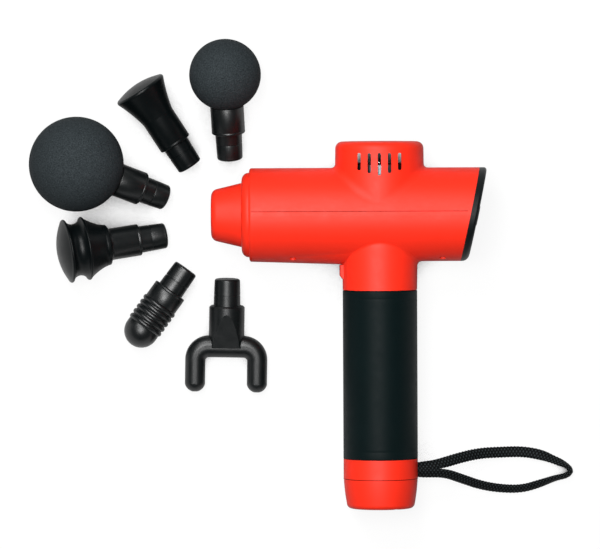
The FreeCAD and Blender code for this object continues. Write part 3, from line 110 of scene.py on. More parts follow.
def finishPiece(name, mesh, body, place=None, sharp=35):
    if place is not None:
        mesh.transform(place)
    for face in mesh.polygons:
        face.use_smooth = True
    if sharp is not None:
        mesh.set_sharp_from_angle(angle=math.radians(sharp))
    piece = bpy.data.objects.new(name, mesh)
    bpy.context.scene.collection.objects.link(piece)
    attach(piece, body)
    return piece


def meshFrom(form, name):
    mesh = bpy.data.meshes.new(name)
    form.to_mesh(mesh)
    form.free()
    return mesh


def arcThrough(start, middle, end, count=10):
    # points on the circle through three, without the first
    (x1, y1), (x2, y2), (x3, y3) = start, middle, end
    turn = 2 * (x1 * (y2 - y3) + x2 * (y3 - y1) + x3 * (y1 - y2))
    a, b, c = x1 * x1 + y1 * y1, x2 * x2 + y2 * y2, x3 * x3 + y3 * y3
    cx = (a * (y2 - y3) + b * (y3 - y1) + c * (y1 - y2)) / turn
    cy = (a * (x3 - x2) + b * (x1 - x3) + c * (x2 - x1)) / turn
    first, via, last = (math.atan2(y - cy, x - cx) for x, y in (start, middle, end))
    sweep = (last - first) % (2 * math.pi)
    if (via - first) % (2 * math.pi) > sweep:
        sweep -= 2 * math.pi
    size = math.hypot(x1 - cx, y1 - cy)
    angles = [first + sweep * k / count for k in range(1, count + 1)]
    return [(cx + size * math.cos(t), cy + size * math.sin(t)) for t in angles]


def rounding(station, radius, size, start, end, count=5):
    angles = [math.radians(start + (end - start) * k / count) for k in range(count + 1)]
    return [(station + size * math.cos(t), radius + size * math.sin(t)) for t in angles]


def bevelEdges(form, edges, width, segments=2):
    bmesh.ops.bevel(form, geom=edges, offset=width * mm, offset_type="OFFSET", affect="EDGES",
                    segments=segments, profile=0.5, material=-1, clamp_overlap=True)


def turnedForm(outline, steps, edge=0.0):
    # an outline of stations and radii in mm, spun round the x axis
    form = bmesh.new()
    verts = [form.verts.new((x * mm, r * mm, 0)) for x, r in outline]
    edges = [form.edges.new(pair) for pair in zip(verts, verts[1:])]
    bmesh.ops.spin(form, geom=verts + edges, cent=(0, 0, 0), axis=(1, 0, 0), dvec=(0, 0, 0),
                   angle=2 * math.pi, steps=steps, use_merge=True, use_normal_flip=False, use_duplicate=False)
    bmesh.ops.remove_doubles(form, verts=form.verts, dist=1e-6)
    bmesh.ops.recalc_face_normals(form, faces=form.faces)
    if edge:
        hard = [e for e in form.edges if len(e.link_faces) == 2 and e.calc_face_angle(0) > math.radians(35)]
        bevelEdges(form, hard, edge)
    stations = form.verts.layers.float.new("station")       # mm along the axis, for the tool's rings
    for vertex in form.verts:
        vertex[stations] = vertex.co.x / mm
    return form


def standsFor(piece, node, finish):
    setFaces(finishes[finish], piece)
    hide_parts(node)
    return piece


# ---- Materials ----

plastics = {    # colour, roughness, grain size in mm, grain depth, colour variation, rings, other sockets
    "satinRedAbs": ("#F42C15", 0.54, 0.7, 0.05, 0.035, 0, {"Specular IOR Level": 0.28}),
    # painted shade: a darker copy of the red ABS, coloured as the shadow in the gaps of the shell
    "shadowedRedAbs": ("#5A0703", 0.6, 0.7, 0.05, 0.05, 0, {"Specular IOR Level": 0.1}),
    "satinBlackAbs": ("#080D0E", 0.46, 0.6, 0.08, 0.12, 0, {"Specular IOR Level": 0.15}),
    "matteSilicone": ("#0C1112", 0.56, 0.5, 0.12, 0.14, 0, {"Specular IOR Level": 0.12}),
    "matteGripRubber": ("#061213", 0.52, 0.6, 0.22, 0.18, 0, {"Specular IOR Level": 0.07}),
    "turnedHeadNylon": ("#070B0C", 0.35, 0.5, 0.16, 0.18, 1, {"Specular IOR Level": 0.5}),
    "satinHeadNylon": ("#070B0C", 0.40, 0.5, 0.22, 0.18, 0, {"Specular IOR Level": 0.42}),
    "satinHeadSilicone": ("#060A0B", 0.34, 0.8, 0.10, 0.14, 1, {"Specular IOR Level": 0.16}),
    "mouldedInnerNylon": ("#222325", 0.55, 0.5, 0.12, 0.10, 0, {}),
    "mouldedCaseAbs": ("#141517", 0.5, 0.6, 0.10, 0.10, 0, {}),
    "shrinkWrap": ("#2A6478", 0.3, 2.5, 0.08, 0.08, 0, {"Coat Weight": 0.3}),
}


def mouldedPlastic(name):
    # a spark-eroded mould leaves an even grain about 0.1 mm wide, drawn here at the grain size of the table;
    # the grain breaks up the highlight, and turned parts also keep faint rings from the mould's own tool
    colour, roughness, grain, depth, variation, rings, sockets = plastics[name]
    material, tree, shader, where = startMaterial(name, colour, roughness, sockets)
    fine = addNode(tree, "ShaderNodeTexNoise", {"Scale": 1 / (grain * mm), "Detail": 4.0, "Roughness": 0.65},
                   {"Vector": where}).outputs["Fac"]
    broad = addNode(tree, "ShaderNodeTexNoise", {"Scale": 45.0, "Detail": 3.0}, {"Vector": where}).outputs["Fac"]
    handled = addNode(tree, "ShaderNodeTexNoise", {"Scale": 160.0, "Detail": 5.0, "Roughness": 0.7},
                      {"Vector": where}).outputs["Fac"]
    base = toLinear(colour)
    darker = [c * (1 - variation) for c in base[:3]] + [1]
    lighter = [min(1, c * (1 + variation)) for c in base[:3]] + [1]
    tint = addNode(tree, "ShaderNodeMix", {"data_type": "RGBA", 6: darker, 7: lighter}, {0: broad})
    tree.links.new(tint.outputs[2], shader.inputs["Base Color"])
    height = fine
    if rings:
        station = addNode(tree, "ShaderNodeAttribute", {"attribute_name": "station"}).outputs["Fac"]
        turned = addNode(tree, "ShaderNodeTexNoise", {"noise_dimensions": "1D", "Scale": 2.2, "Detail": 3.0},
                         {"W": station}).outputs["Fac"]
        height = addNode(tree, "ShaderNodeMath", {"operation": "MULTIPLY_ADD", 1: 1.6},
                         {0: turned, 2: fine}).outputs[0]
        handled = addNode(tree, "ShaderNodeMath", {"operation": "MULTIPLY_ADD", 1: 0.5},
                          {0: turned, 2: handled}).outputs[0]
    rough = addNode(tree, "ShaderNodeMapRange", {"From Min": 0.3, "From Max": 0.9 + 0.3 * rings,
                    "To Min": roughness - 0.06, "To Max": roughness + 0.09}, {"Value": handled})
    tree.links.new(rough.outputs["Result"], shader.inputs["Roughness"])
    bump = addNode(tree, "ShaderNodeBump", {"Strength": depth, "Distance": 0.1 * mm}, {"Height": height})
    tree.links.new(bump.outputs["Normal"], shader.inputs["Normal"])
    return material


metals = {      # colour, roughness, spacing of the tool's marks in mm, their depth
    "turnedSteel": ("#8E9196", 0.34, 0.35, 0.12),
    "polishedSteel": ("#C6C8CC", 0.14, 0.25, 0.03),
    "nickelledSteel": ("#6F787C", 0.42, 0.4, 0.08),
    "machinedAluminium": ("#B4B6B9", 0.36, 0.5, 0.14),
    "sinteredBronze": ("#A67F45", 0.46, 0.3, 0.30),
    "platedContact": ("#D6AE55", 0.24, 0.4, 0.05),
}


def workedMetal(name):
    # turning, grinding or drawing leaves fine marks that run one way and stretch the highlight across them
    colour, roughness, spacing, depth = metals[name]
    material, tree, shader, where = startMaterial(name, colour, roughness, {"Metallic": 1.0})
    stretch = addNode(tree, "ShaderNodeMapping", {"Scale": (0.08, 1.0, 1.0)}, {"Vector": where})
    marks = addNode(tree, "ShaderNodeTexNoise", {"Scale": 1 / (spacing * mm), "Detail": 4.0},
                    {"Vector": stretch.outputs["Vector"]}).outputs["Fac"]
    rough = addNode(tree, "ShaderNodeMapRange", {"To Min": roughness * 0.75, "To Max": roughness * 1.3},
                    {"Value": marks})
    tree.links.new(rough.outputs["Result"], shader.inputs["Roughness"])
    bump = addNode(tree, "ShaderNodeBump", {"Strength": depth, "Distance": 0.05 * mm}, {"Height": marks})
    tree.links.new(bump.outputs["Normal"], shader.inputs["Normal"])
    return material


def denseFoam():
    # closed-cell foam cut to a ball and skinned: very dull, with fine cut cells 0.4 mm wide, drawn at 0.8 mm
    material, tree, shader, where = startMaterial("denseFoam", "#23292B", 0.78, {"Specular IOR Level": 0.08})
    cells = addNode(tree, "ShaderNodeTexVoronoi", {"Scale": 1 / (0.8 * mm)}, {"Vector": where}).outputs["Distance"]
    fine = addNode(tree, "ShaderNodeTexNoise", {"Scale": 1 / (0.7 * mm), "Detail": 5.0, "Roughness": 0.7},
                   {"Vector": where}).outputs["Fac"]
    height = addNode(tree, "ShaderNodeMath", {"operation": "ADD"}, {0: cells, 1: fine}).outputs[0]
    ramp = addNode(tree, "ShaderNodeValToRGB", links={"Fac": fine})
    ramp.color_ramp.elements[0].position = 0.32
    ramp.color_ramp.elements[0].color = toLinear("#0F1517")
    ramp.color_ramp.elements[1].position = 0.68
    ramp.color_ramp.elements[1].color = toLinear("#3A4043")
    tree.links.new(ramp.outputs["Color"], shader.inputs["Base Color"])
    bump = addNode(tree, "ShaderNodeBump", {"Strength": 0.45, "Distance": 0.2 * mm}, {"Height": height})
    tree.links.new(bump.outputs["Normal"], shader.inputs["Normal"])
    return material


def braidedCord():
    # polyester cord braided flat: dull, with painted shade that is black in the gaps and a faint painted highlight on
    # the crown of each strand
    material, tree, shader, where = startMaterial("braidedCord", "#070909", 0.6, {"Specular IOR Level": 0.08})
    weave = addNode(tree, "ShaderNodeAttribute", {"attribute_name": "weave"}).outputs["Fac"]
    threads = addNode(tree, "ShaderNodeTexNoise", {"Scale": 1 / (0.3 * mm), "Detail": 3.0},
                      {"Vector": where}).outputs["Fac"]
    mixed = addNode(tree, "ShaderNodeMath", {"operation": "MULTIPLY_ADD", 1: 0.1},
                    {0: threads, 2: weave}).outputs[0]
    # painted shade and highlight: the colour follows the strands' height, dark in the gaps and lighter on the crowns
    ramp = addNode(tree, "ShaderNodeValToRGB", links={"Fac": mixed})
    ramp.color_ramp.elements[0].position = 0.86
    ramp.color_ramp.elements[0].color = toLinear("#010202")
    ramp.color_ramp.elements[1].position = 1.0
    ramp.color_ramp.elements[1].color = toLinear("#2C3234")
    tree.links.new(ramp.outputs["Color"], shader.inputs["Base Color"])
    bump = addNode(tree, "ShaderNodeBump", {"Strength": 0.3, "Distance": 0.1 * mm}, {"Height": threads})
    tree.links.new(bump.outputs["Normal"], shader.inputs["Normal"])
    return material


def smokedAcrylic():
    # smoked sheet polished on its face: nearly black, with sharp reflections and a faint haze from wiping
    material, tree, shader, where = startMaterial("smokedAcrylic", "#06080A", 0.06,
                                                  {"IOR": 1.49, "Coat Weight": 0.6, "Coat Roughness": 0.03})
    haze = addNode(tree, "ShaderNodeTexNoise", {"Scale": 60.0, "Detail": 3.0}, {"Vector": where}).outputs["Fac"]
    rough = addNode(tree, "ShaderNodeMapRange", {"To Min": 0.04, "To Max": 0.10}, {"Value": haze})
    tree.links.new(rough.outputs["Result"], shader.inputs["Roughness"])
    return material


def clearAcrylic():
    # clear moulding over an unlit light: pale, half see-through, and slightly frosted
    material, tree, shader, where = startMaterial("clearAcrylic", "#E6EFEC", 0.12,
                                                  {"IOR": 1.49, "Transmission Weight": 0.5})
    haze = addNode(tree, "ShaderNodeTexNoise", {"Scale": 400.0}, {"Vector": where}).outputs["Fac"]
    rough = addNode(tree, "ShaderNodeMapRange", {"To Min": 0.08, "To Max": 0.2}, {"Value": haze})
    tree.links.new(rough.outputs["Result"], shader.inputs["Roughness"])
    return material


def coatedBoard():
    # glass-fibre board under green lacquer, with tracks 0.6 mm wide
    material, tree, shader, where = startMaterial("coatedBoard", "#14603A", 0.35, {"Coat Weight": 0.4})
    tracks = addNode(tree, "ShaderNodeTexBrick", {
        "Scale": 1 / (6 * mm), "Mortar Size": 0.06, "Color1": toLinear("#14603A"),
        "Color2": toLinear("#125534"), "Mortar": toLinear("#2E8A57")}, {"Vector": where})
    tree.links.new(tracks.outputs["Color"], shader.inputs["Base Color"])
    return material


def enamelledCopper():
    # round wire wound up and down each tooth: a painted highlight on the crowns under the lacquer and painted shade
    # in the gaps between the turns
    turnPitch = 1.0263      # mm from one turn to the next
    waveLength = math.pi / 10       # m, how often a wave texture at scale 1 repeats
    material, tree, shader, where = startMaterial("enamelledCopper", "#B06A3C", 0.3,
                                                  {"Metallic": 0.9, "Coat Weight": 0.5})
    wire = addNode(tree, "ShaderNodeTexWave", {
        "wave_type": "BANDS", "bands_direction": "Y", "Scale": waveLength / (turnPitch * mm), "Distortion": 0.6},
        {"Vector": where}).outputs["Fac"]
    # painted highlight and shade: the colour goes from dark in the gaps to bright on the crowns of the turns
    ramp = addNode(tree, "ShaderNodeValToRGB", links={"Fac": wire})
    ramp.color_ramp.elements[0].color = toLinear("#6B3A1E")
    ramp.color_ramp.elements[1].color = toLinear("#C98450")
    tree.links.new(ramp.outputs["Color"], shader.inputs["Base Color"])
    bump = addNode(tree, "ShaderNodeBump", {"Strength": 0.6, "Distance": 0.2 * mm}, {"Height": wire})
    tree.links.new(bump.outputs["Normal"], shader.inputs["Normal"])
    return material


finishes = {name: mouldedPlastic(name) for name in plastics}
finishes.update({name: workedMetal(name) for name in metals})
for make in (denseFoam, braidedCord, smokedAcrylic, clearAcrylic, coatedBoard, enamelledCopper):
    finishes[make.__name__] = make()

nodeFinishes = {
    "satinRedAbs": ("upper_housing", "lower_housing", "front_ring", "nose_cone", "release_button", "base_ring",
                    "base_cap"),
    "satinBlackAbs": ("rear_bezel", "rocker_frame", "power_rocker"),
    "smokedAcrylic": ("display_lens",),
    "coatedBoard": ("control_board", "battery_board"),
    "turnedSteel": ("housing_screws", "frame_screws", "motor_stator", "rotor_magnets", "crank", "crank_bolt",
                    "piston_rod", "base_screws", "lanyard_bar"),
    "machinedAluminium": ("mechanism_frame", "motor_base", "piston_tube", "yoke"),
    "sinteredBronze": ("front_bushing", "yoke_bushes"),
    "polishedSteel": ("guide_rods", "motor_bearings", "motor_shaft", "crank_bearing"),
    "nickelledSteel": ("rotor_can",),
    "enamelledCopper": ("stator_coils",),
    "mouldedInnerNylon": ("battery_socket", "charge_jack"),
    "platedContact": ("socket_contacts", "battery_contacts"),
    "satinHeadSilicone": ("socket_ring",),
    "mouldedCaseAbs": ("battery_case",),
    "shrinkWrap": ("battery_cells",),
    "clearAcrylic": ("charge_light",),
    "satinHeadNylon": ("fork_head",),
}
for finish, nodes in nodeFinishes.items():
    setFaces(finishes[finish], *[frame["nodes"][node] for node in nodes])
print("materials ready:", len(finishes))


# ---- Camera ----

camera = {
    "above": (78.0, -5.0, 4000.0),          # mm: a long lens from far above
    "aim": (26.874, -0.350, 30.0),
    "lens": 371.925,
    "roll": 0.25,           # degrees
}


def makeCamera():
    stand = Vector(camera["above"]) * mm
    forward = (Vector(camera["aim"]) * mm - stand).normalized()
    level = forward.cross(Vector((0, 1, 0))).normalized()
    rolled = Matrix.Rotation(math.radians(camera["roll"]), 3, forward)
    right = rolled @ level
    up = right.cross(forward)
    data = bpy.data.cameras.new("camera")
    data.sensor_width = 36
    data.lens = camera["lens"]
    data.clip_start = 0.01
    piece = bpy.data.objects.new("camera", data)
    piece.matrix_world = Matrix.Translation(stand) @ Matrix((right, up, -forward)).transposed().to_4x4()
    bpy.context.scene.collection.objects.link(piece)
    bpy.context.scene.camera = piece


makeCamera()


# ---- Lanyard ----

lanyard = {
    "flatWidth": 6.5,       # mm, braid laid flat
    "thickness": 3.0,
    "length": 0.227,        # m, of the whole loop
    "tube": 4.2,            # mm, thickness of the plain round cord that it stands for
    "around": 80,
    "ringStep": 0.25,       # mm along the cord
    "strands": 6,           # that run each way round the braid
    "lay": 2.2,             # mm along the cord from one crossing of two strands to the next but one
    "relief": 0.36,         # mm
    "route": [      # mm, from the place where the gun's axes cross; Z up from the table
        (19.5, -161.54, 24.06), (28.5, -161.44, 24.06), (38.7, -159.9, 21.9), (51.9, -156.1, 15.6),
        (63.9, -153.7, 9.0), (76.9, -153.2, 4.8), (91.1, -152.8, 3.7), (103.3, -154.9, 3.6),
        (113.2, -158.9, 3.5), (120.4, -162.2, 3.6), (122.8, -165.7, 3.7), (119.9, -168.5, 3.6),
        (112.3, -170.0, 3.5), (103.3, -173.3, 3.4), (91.0, -177.0, 3.4), (76.8, -176.6, 4.6),
        (63.9, -174.2, 9.0), (51.9, -169.8, 15.6), (41.2, -165.9, 21.4), (28.5, -165.94, 23.9),
        (19.5, -165.84, 23.9)],
    # how far round the flat braid has turned, in degrees, at shares of its length
    "twist": [(0.0, 62), (0.05, 36), (0.14, 4), (0.26, 2), (0.38, 16), (0.45, 52), (0.49, 80), (0.53, 74),
              (0.62, 48), (0.85, 34), (0.96, 40), (1.0, 62)],
}


def lanyardPath():
    curve = bpy.data.curves.new("lanyardRoute", "CURVE")
    curve.dimensions = "3D"
    curve.resolution_u = 24
    spline = curve.splines.new("NURBS")
    spline.points.add(len(lanyard["route"]) - 1)
    for point, (x, y, z) in zip(spline.points, lanyard["route"]):
        point.co = (crossing.x + x * mm, crossing.y + y * mm, z * mm, 1)
    spline.order_u = 3
    spline.use_endpoint_u = True
    holder = bpy.data.objects.new("lanyardRoute", curve)
    mesh = bpy.data.meshes.new_from_object(holder)
    points = [v.co.copy() for v in mesh.vertices]
    bpy.data.objects.remove(holder)
    return points


def alongPath(points, step):
    # the same line again, at even steps
    lengths = [0.0]
    for a, b in zip(points, points[1:]):
        lengths.append(lengths[-1] + (b - a).length)
    count = max(2, round(lengths[-1] / step))
    even, k = [], 0
    for i in range(count + 1):
        at = lengths[-1] * i / count
        while k < len(points) - 2 and lengths[k + 1] < at:
            k += 1
        span = lengths[k + 1] - lengths[k]
        even.append(points[k].lerp(points[k + 1], (at - lengths[k]) / span))
    return even, lengths[-1]


def between(table, at):
    # the table's value at a share of the length, eased from one row to the next
    for (a, low), (b, high) in zip(table, table[1:]):
        if at <= b:
            share = (at - a) / (b - a)
            share = share * share * (3 - 2 * share)
            return low + (high - low) * share
    return table[-1][1]


def strandHeight(share, along):
    # two families of strands cross, and each goes over and under the other by turns
    one = share * lanyard["strands"] + along / lanyard["lay"]
    other = share * lanyard["strands"] - along / lanyard["lay"]
    over = (math.floor(one) + math.floor(other)) % 2
    ridge, valley = (one, other) if over else (other, one)
    return 0.55 * math.sin(math.pi * (ridge % 1)) ** 0.6 + 0.45 * math.sin(math.pi * (valley % 1)) ** 0.6


def makeLanyard():
    points, length = alongPath(lanyardPath(), lanyard["ringStep"] * mm)
    around = lanyard["around"]
    form = bmesh.new()
    form.loops.layers.uv.new("braid")
    bmesh.ops.create_grid(form, x_segments=around, y_segments=len(points) - 1, size=0.5, calc_uvs=True)
    up = Vector((0, 0, 1))
    frames = []
    for i, point in enumerate(points):
        ahead = (points[min(i + 1, len(points) - 1)] - points[max(i - 1, 0)]).normalized()
        side = ahead.cross(up).normalized()
        top = side.cross(ahead)
        turn = math.radians(between(lanyard["twist"], i / (len(points) - 1)))
        frames.append((point, side * math.cos(turn) + top * math.sin(turn),
                       top * math.cos(turn) - side * math.sin(turn)))
    halfWidth, halfThickness = lanyard["flatWidth"] / 2 * mm, lanyard["thickness"] / 2 * mm
    step = length / (len(points) - 1) / mm
    weave = form.verts.layers.float.new("weave")
    for vertex in form.verts:
        i = round((vertex.co.y + 0.5) * (len(points) - 1))
        share = vertex.co.x + 0.5
        high = strandHeight(share, i * step)
        vertex[weave] = high
        angle = share * 2 * math.pi
        swell = 1 + (high - 0.5) * lanyard["relief"] / (lanyard["thickness"] / 2)
        point, wide, thick = frames[min(max(i, 0), len(points) - 1)]
        across, over = math.cos(angle), math.sin(angle)
        # a flat braid is fuller than an oval
        squarer = 1 / max(abs(across) ** 2.6, abs(over) ** 2.6, 0.4) ** 0.12
        vertex.co = point + (wide * halfWidth * across + thick * halfThickness * over * squarer) * swell
    bmesh.ops.remove_doubles(form, verts=form.verts, dist=1e-6)
    bmesh.ops.holes_fill(form, edges=[e for e in form.edges if e.is_boundary], sides=0)
    bmesh.ops.recalc_face_normals(form, faces=form.faces)
    piece = finishPiece("braidedLanyard", meshFrom(form, "braidedLanyard"), "battery_handle", sharp=None)
    standsFor(piece, "lanyard", "braidedCord")
    print("lanyard laid:", round(length, 4), "m")


makeLanyard()


# ---- Joints in the red shell ----

partingLineShade = {     # mm
    "front": -81.8, "rear": 56.2, "height": 2.8, "width": 0.46, "depth": 0.3, "barrel": 30.0, "proud": 0.012,
    "edge": 0.05, "cuts": 24,
}


def makePartingLine():
    # painted shade: a dark strip standing for the shadow in the gap where the two halves of the housing meet, on both
    # sides of the barrel
    p = partingLineShade
    form = bmesh.new()
    for side in (-1, 1):
        middle = side * (math.sqrt(p["barrel"] ** 2 - p["height"] ** 2) + p["proud"] - p["depth"] / 2)
        size = Matrix.Diagonal(((p["rear"] - p["front"]) * mm, p["width"] * mm, p["depth"] * mm, 1))
        bmesh.ops.create_cube(form, size=1, matrix=Matrix.Translation(
            Vector(((p["front"] + p["rear"]) / 2, p["height"], middle)) * mm) @ size)
    bmesh.ops.subdivide_edges(form, edges=[e for e in form.edges if e.calc_length() > 0.05], cuts=p["cuts"])
    # only the edges along the line are softened: those across it are under 2 mm
    lengthwise = [e for e in form.edges if e.calc_face_angle(0) > 1 and e.calc_length() > 0.002]
    bevelEdges(form, lengthwise, p["edge"], segments=1)
    piece = finishPiece("partingLineShade", meshFrom(form, "partingLineShade"), "gun_body", gunPlace)
    # painted shade: the strip takes the darker copy of the red, coloured as the shadow in the gap
    setFaces(finishes["shadowedRedAbs"], piece)


makePartingLine()

baseJointShade = {"station": -169.2, "radius": 23.8, "width": 0.4, "depth": 0.5, "proud": 0.03, "around": 120}      # mm


def makeBaseJoint():
    # painted shade: a dark ring standing for the shadow in the gap between the base ring and the base cap
    b = baseJointShade
    low, high = b["station"] - b["width"] / 2, b["station"] + b["width"] / 2
    outer, inner = b["radius"] + b["proud"], b["radius"] - b["depth"]
    form = turnedForm([(low, inner), (low, outer - 0.02), (low + 0.03, outer), (high - 0.03, outer),
                       (high, outer - 0.02), (high, inner), (low, inner)], b["around"])
    piece = finishPiece("baseJointShade", meshFrom(form, "baseJointShade"), "battery_handle", handlePlace)
    setFaces(finishes["shadowedRedAbs"], piece)


makeBaseJoint()
print("joints in the red shell drawn")


# ---- Heads ----

shankShape = {      # mm; every head fits the same socket
    "root": 8.6, "tip": 8.2, "length": 17.4, "tipCorner": 1.5,
    "groove": 6.6, "grooveWidth": 0.6, "grooveDepth": 0.4,      # from the collar's end
    "rimLine": 1.7, "rimDepth": 0.14, "rimCorner": 0.75,        # the line just behind the collar's end
    "tipLine": 2.1, "tipDepth": 0.06,
    "around": 112,
}
collarRadius = 10.75
spigot = {"radius": 8.6, "hole": 8.95, "chamfer": 0.6}      # mm; a stem's end that is glued into its ball or bellows


def shankOutline(end, collar=collarRadius):
    s = shankShape
    line = end - s["rimLine"]
    outline = [(line - 0.5, collar), (line - 0.2, collar - s["rimDepth"]), (line + 0.1, collar)]
    outline += rounding(end - s["rimCorner"], collar - s["rimCorner"], s["rimCorner"], 90, 0)
    outline += [(end, s["root"] + 0.3), (end + 0.2, s["root"])]

    def surface(along):
        return s["root"] + (s["tip"] - s["root"]) * along / s["length"]
    start, stop = s["groove"], s["groove"] + s["grooveWidth"]
    lip, floor = surface(start) - 0.12, surface(start) - s["grooveDepth"]
    outline += [(end + start - 0.15, surface(start)), (end + start, lip), (end + start + 0.1, floor),
                (end + stop - 0.1, floor), (end + stop, lip), (end + stop + 0.15, surface(stop))]
    tip = end + s["length"]
    outline += [(tip - s["tipLine"] - 0.25, s["tip"]), (tip - s["tipLine"], s["tip"] - s["tipDepth"])]
    return outline + rounding(tip - s["tipCorner"], s["tip"] - s["tipCorner"], s["tipCorner"], 90, 0, 7) + [
        (tip, s["tip"] - 2.4), (tip - 0.25, s["tip"] - 2.7), (tip - 0.25, 0)]


def turnedHead(name, outline, place, body, node, finish, edge=0.0):
    form = turnedForm(outline, shankShape["around"], edge)
    piece = finishPiece(name, meshFrom(form, name), body, headPlace(place))
    return standsFor(piece, node, finish)


foamBalls = {
    "pore": 1.3,            # mm, the cells that show as relief
    "relief": 0.09,
    "socketDepth": 15.0,
    "spigotLength": 14.7,
    "mouth": 0.8,           # rounding of the hole's edge
    "rows": 150,            # of the large ball
    "large": {"radius": 30.4, "collarEnd": 47.0},
    "small": {"radius": 23.0, "collarEnd": 38.5},
}


def foamBall(size):
    ball = foamBalls[size]
    radius, hole, mouth = ball["radius"], spigot["hole"], foamBalls["mouth"]
    rows = round(foamBalls["rows"] * radius / foamBalls["large"]["radius"])
    last = math.degrees(math.asin((hole + mouth) / radius))
    outline = [(radius * math.cos(t), radius * math.sin(t)) for t in
               (math.radians(180 + (last - 180) * k / rows) for k in range(rows + 1))]
    outline[0] = (-radius, 0)
    front = outline[-1][0]
    outline += arcThrough(outline[-1], (front - 0.25 * mouth + 0.1, hole + 0.35 * mouth), (front - mouth, hole), 5)
    outline += [(radius - foamBalls["socketDepth"], hole), (radius - foamBalls["socketDepth"], 0)]
    form = turnedForm(outline, 2 * rows)
    pore = foamBalls["pore"] * mm
    for vertex in form.verts:
        out = vertex.co.normalized()
        if vertex.co.length > (radius - 0.1) * mm:
            fine = noise.noise(vertex.co / pore) + 0.5 * noise.noise(vertex.co / (0.5 * pore))
            vertex.co += out * min(fine, 0.25) * foamBalls["relief"] * mm
    name = size + "FoamBall"
    piece = finishPiece(name, meshFrom(form, name), size + "_ball_head", headPlace(size + "Ball"), sharp=None)
    return standsFor(piece, size + "_ball", "denseFoam")


def ballStem(size):
    radius, end = foamBalls[size]["radius"], foamBalls[size]["collarEnd"]
    foot = math.sqrt(radius ** 2 - collarRadius ** 2) + 0.25
    seat = math.sqrt(radius ** 2 - spigot["radius"] ** 2) + 0.2
    start, inBall, chamfer = radius - foamBalls["spigotLength"], spigot["radius"], spigot["chamfer"]
    outline = [(start, 0), (start, inBall - chamfer), (start + chamfer, inBall), (seat, inBall),
               (foot + 0.1, collarRadius - 0.5), (foot + 0.35, collarRadius - 0.15), (foot + 0.8, collarRadius)]
    turnedHead(size + "BallStem", outline + shankOutline(end), size + "Ball", size + "_ball_head",
               size + "_ball_stem", "turnedHeadNylon", 0.15)


for size in ("large", "small"):
    foamBall(size)
    ballStem(size)

bell = {
    "radius": 17.3, "rim": 1.7, "dome": 2.8,        # mm
    "flare": ((2.55, 17.07), (10.5, 14.0), (22.5, 10.75)),
    "collarEnd": 43.2,
}


def makeBell():
    inner, dome = bell["radius"] - bell["rim"], bell["dome"]
    outline = [(-dome, 0)] + arcThrough((-dome, 0), (-dome * 0.75, 0.5 * inner), (0, inner), 14)
    outline += [(0.05, inner + 0.1)] + rounding(bell["rim"], inner, bell["rim"], 170, 60, 8)
    start, middle, end = bell["flare"]
    outline += arcThrough(start, middle, end, 22)
    turnedHead("bellHead", outline + shankOutline(bell["collarEnd"]), "bell", "bell_head", "bell_head",
               "satinHeadSilicone")


makeBell()

cushion = {
    "radius": 20.5, "dome": 5.4, "lip": 0.9, "valley": 16.7, "ridge": 12.6,     # mm
    "end": 27.9, "endRadius": 12.5, "hollow": 1.5, "backLine": 2.6, "backEdge": 0.8,
    "socketDepth": 10.0, "spigotLength": 9.7,
    "collarRadius": 10.2, "collarEnd": 48.5, "stemFlare": 2.0,
}


def makeCushion():
    c = cushion
    lip, edge, ridge, end = c["lip"], c["radius"] - c["lip"], c["ridge"], c["end"]
    outline = [(-c["dome"], 0)] + arcThrough((-c["dome"], 0), (-c["dome"] * 0.76, edge * 0.5), (-0.05, edge), 14)
    outline += arcThrough((-0.05, edge), (lip, c["radius"]), (2 * lip, edge - 0.2), 8)
    outline += arcThrough((2 * lip, edge - 0.2), ((lip + ridge) / 2, c["valley"]), (ridge - lip, edge), 14)
    outline += arcThrough((ridge - lip, edge), (ridge, c["radius"]), (ridge + lip, edge), 8)
    line = end - c["backLine"]
    waist = ((ridge + end - c["hollow"]) / 2, (c["radius"] + c["endRadius"] - c["hollow"]) / 2)
    back = arcThrough((ridge + lip, edge), waist, (end, c["endRadius"]), 22)
    outline += [point for point in back if point[0] < line - 0.5]
    above = c["endRadius"] + 0.75
    outline += [(line - 0.25, above + 0.35), (line, above - 0.05), (line + 0.3, above)]
    outline += rounding(end - c["backEdge"], above - 0.15 - c["backEdge"], c["backEdge"], 90, 0)
    bottom = end - c["socketDepth"]
    outline += [(end, spigot["hole"]), (bottom, spigot["hole"]), (bottom, 0)]
    turnedHead("cushionBellows", outline, "cushion", "cushion_head", "cushion_bellows",
               "satinHeadSilicone")
    start, collar = end - c["spigotLength"], c["collarRadius"]
    outline = [(start, 0), (start, spigot["radius"]), (end + 0.02, spigot["radius"]),
               (end + 0.02, c["endRadius"] - 0.6)]
    outline += arcThrough(outline[-1], (end + 0.7, collar + 0.7), (end + c["stemFlare"], collar), 6)
    turnedHead("cushionStem", outline + shankOutline(c["collarEnd"], collar), "cushion", "cushion_head",
               "cushion_stem", "turnedHeadNylon", 0.15)


makeCushion()

ribbed = {
    "radius": 11.1, "ribs": 5, "pitch": 3.7, "start": 3.0, "height": 0.9,       # mm
    "root": 0.22, "collarEnd": 32.0,
}


def makeRibbed():
    r = ribbed
    outline = [(-r["radius"], 0)] + rounding(0, 0, r["radius"], 180, 90, 26)[1:] + [(r["start"] - 0.5, r["radius"])]
    for k in range(r["ribs"]):
        at = r["start"] + k * r["pitch"]
        outline += [(at, r["radius"] - r["root"])]
        outline += arcThrough(outline[-1], (at + 0.45 * r["pitch"], r["radius"] + r["height"]),
                              (at + 0.9 * r["pitch"], r["radius"] - r["root"]), 10)
    outline.append((outline[-1][0] + 0.5, r["radius"]))
    turnedHead("ribbedHead", outline + shankOutline(r["collarEnd"], r["radius"]), "ribbed", "ribbed_head",
               "ribbed_head", "turnedHeadNylon")


makeRibbed()
print("heads made")


# ---- Grip and rear face ----

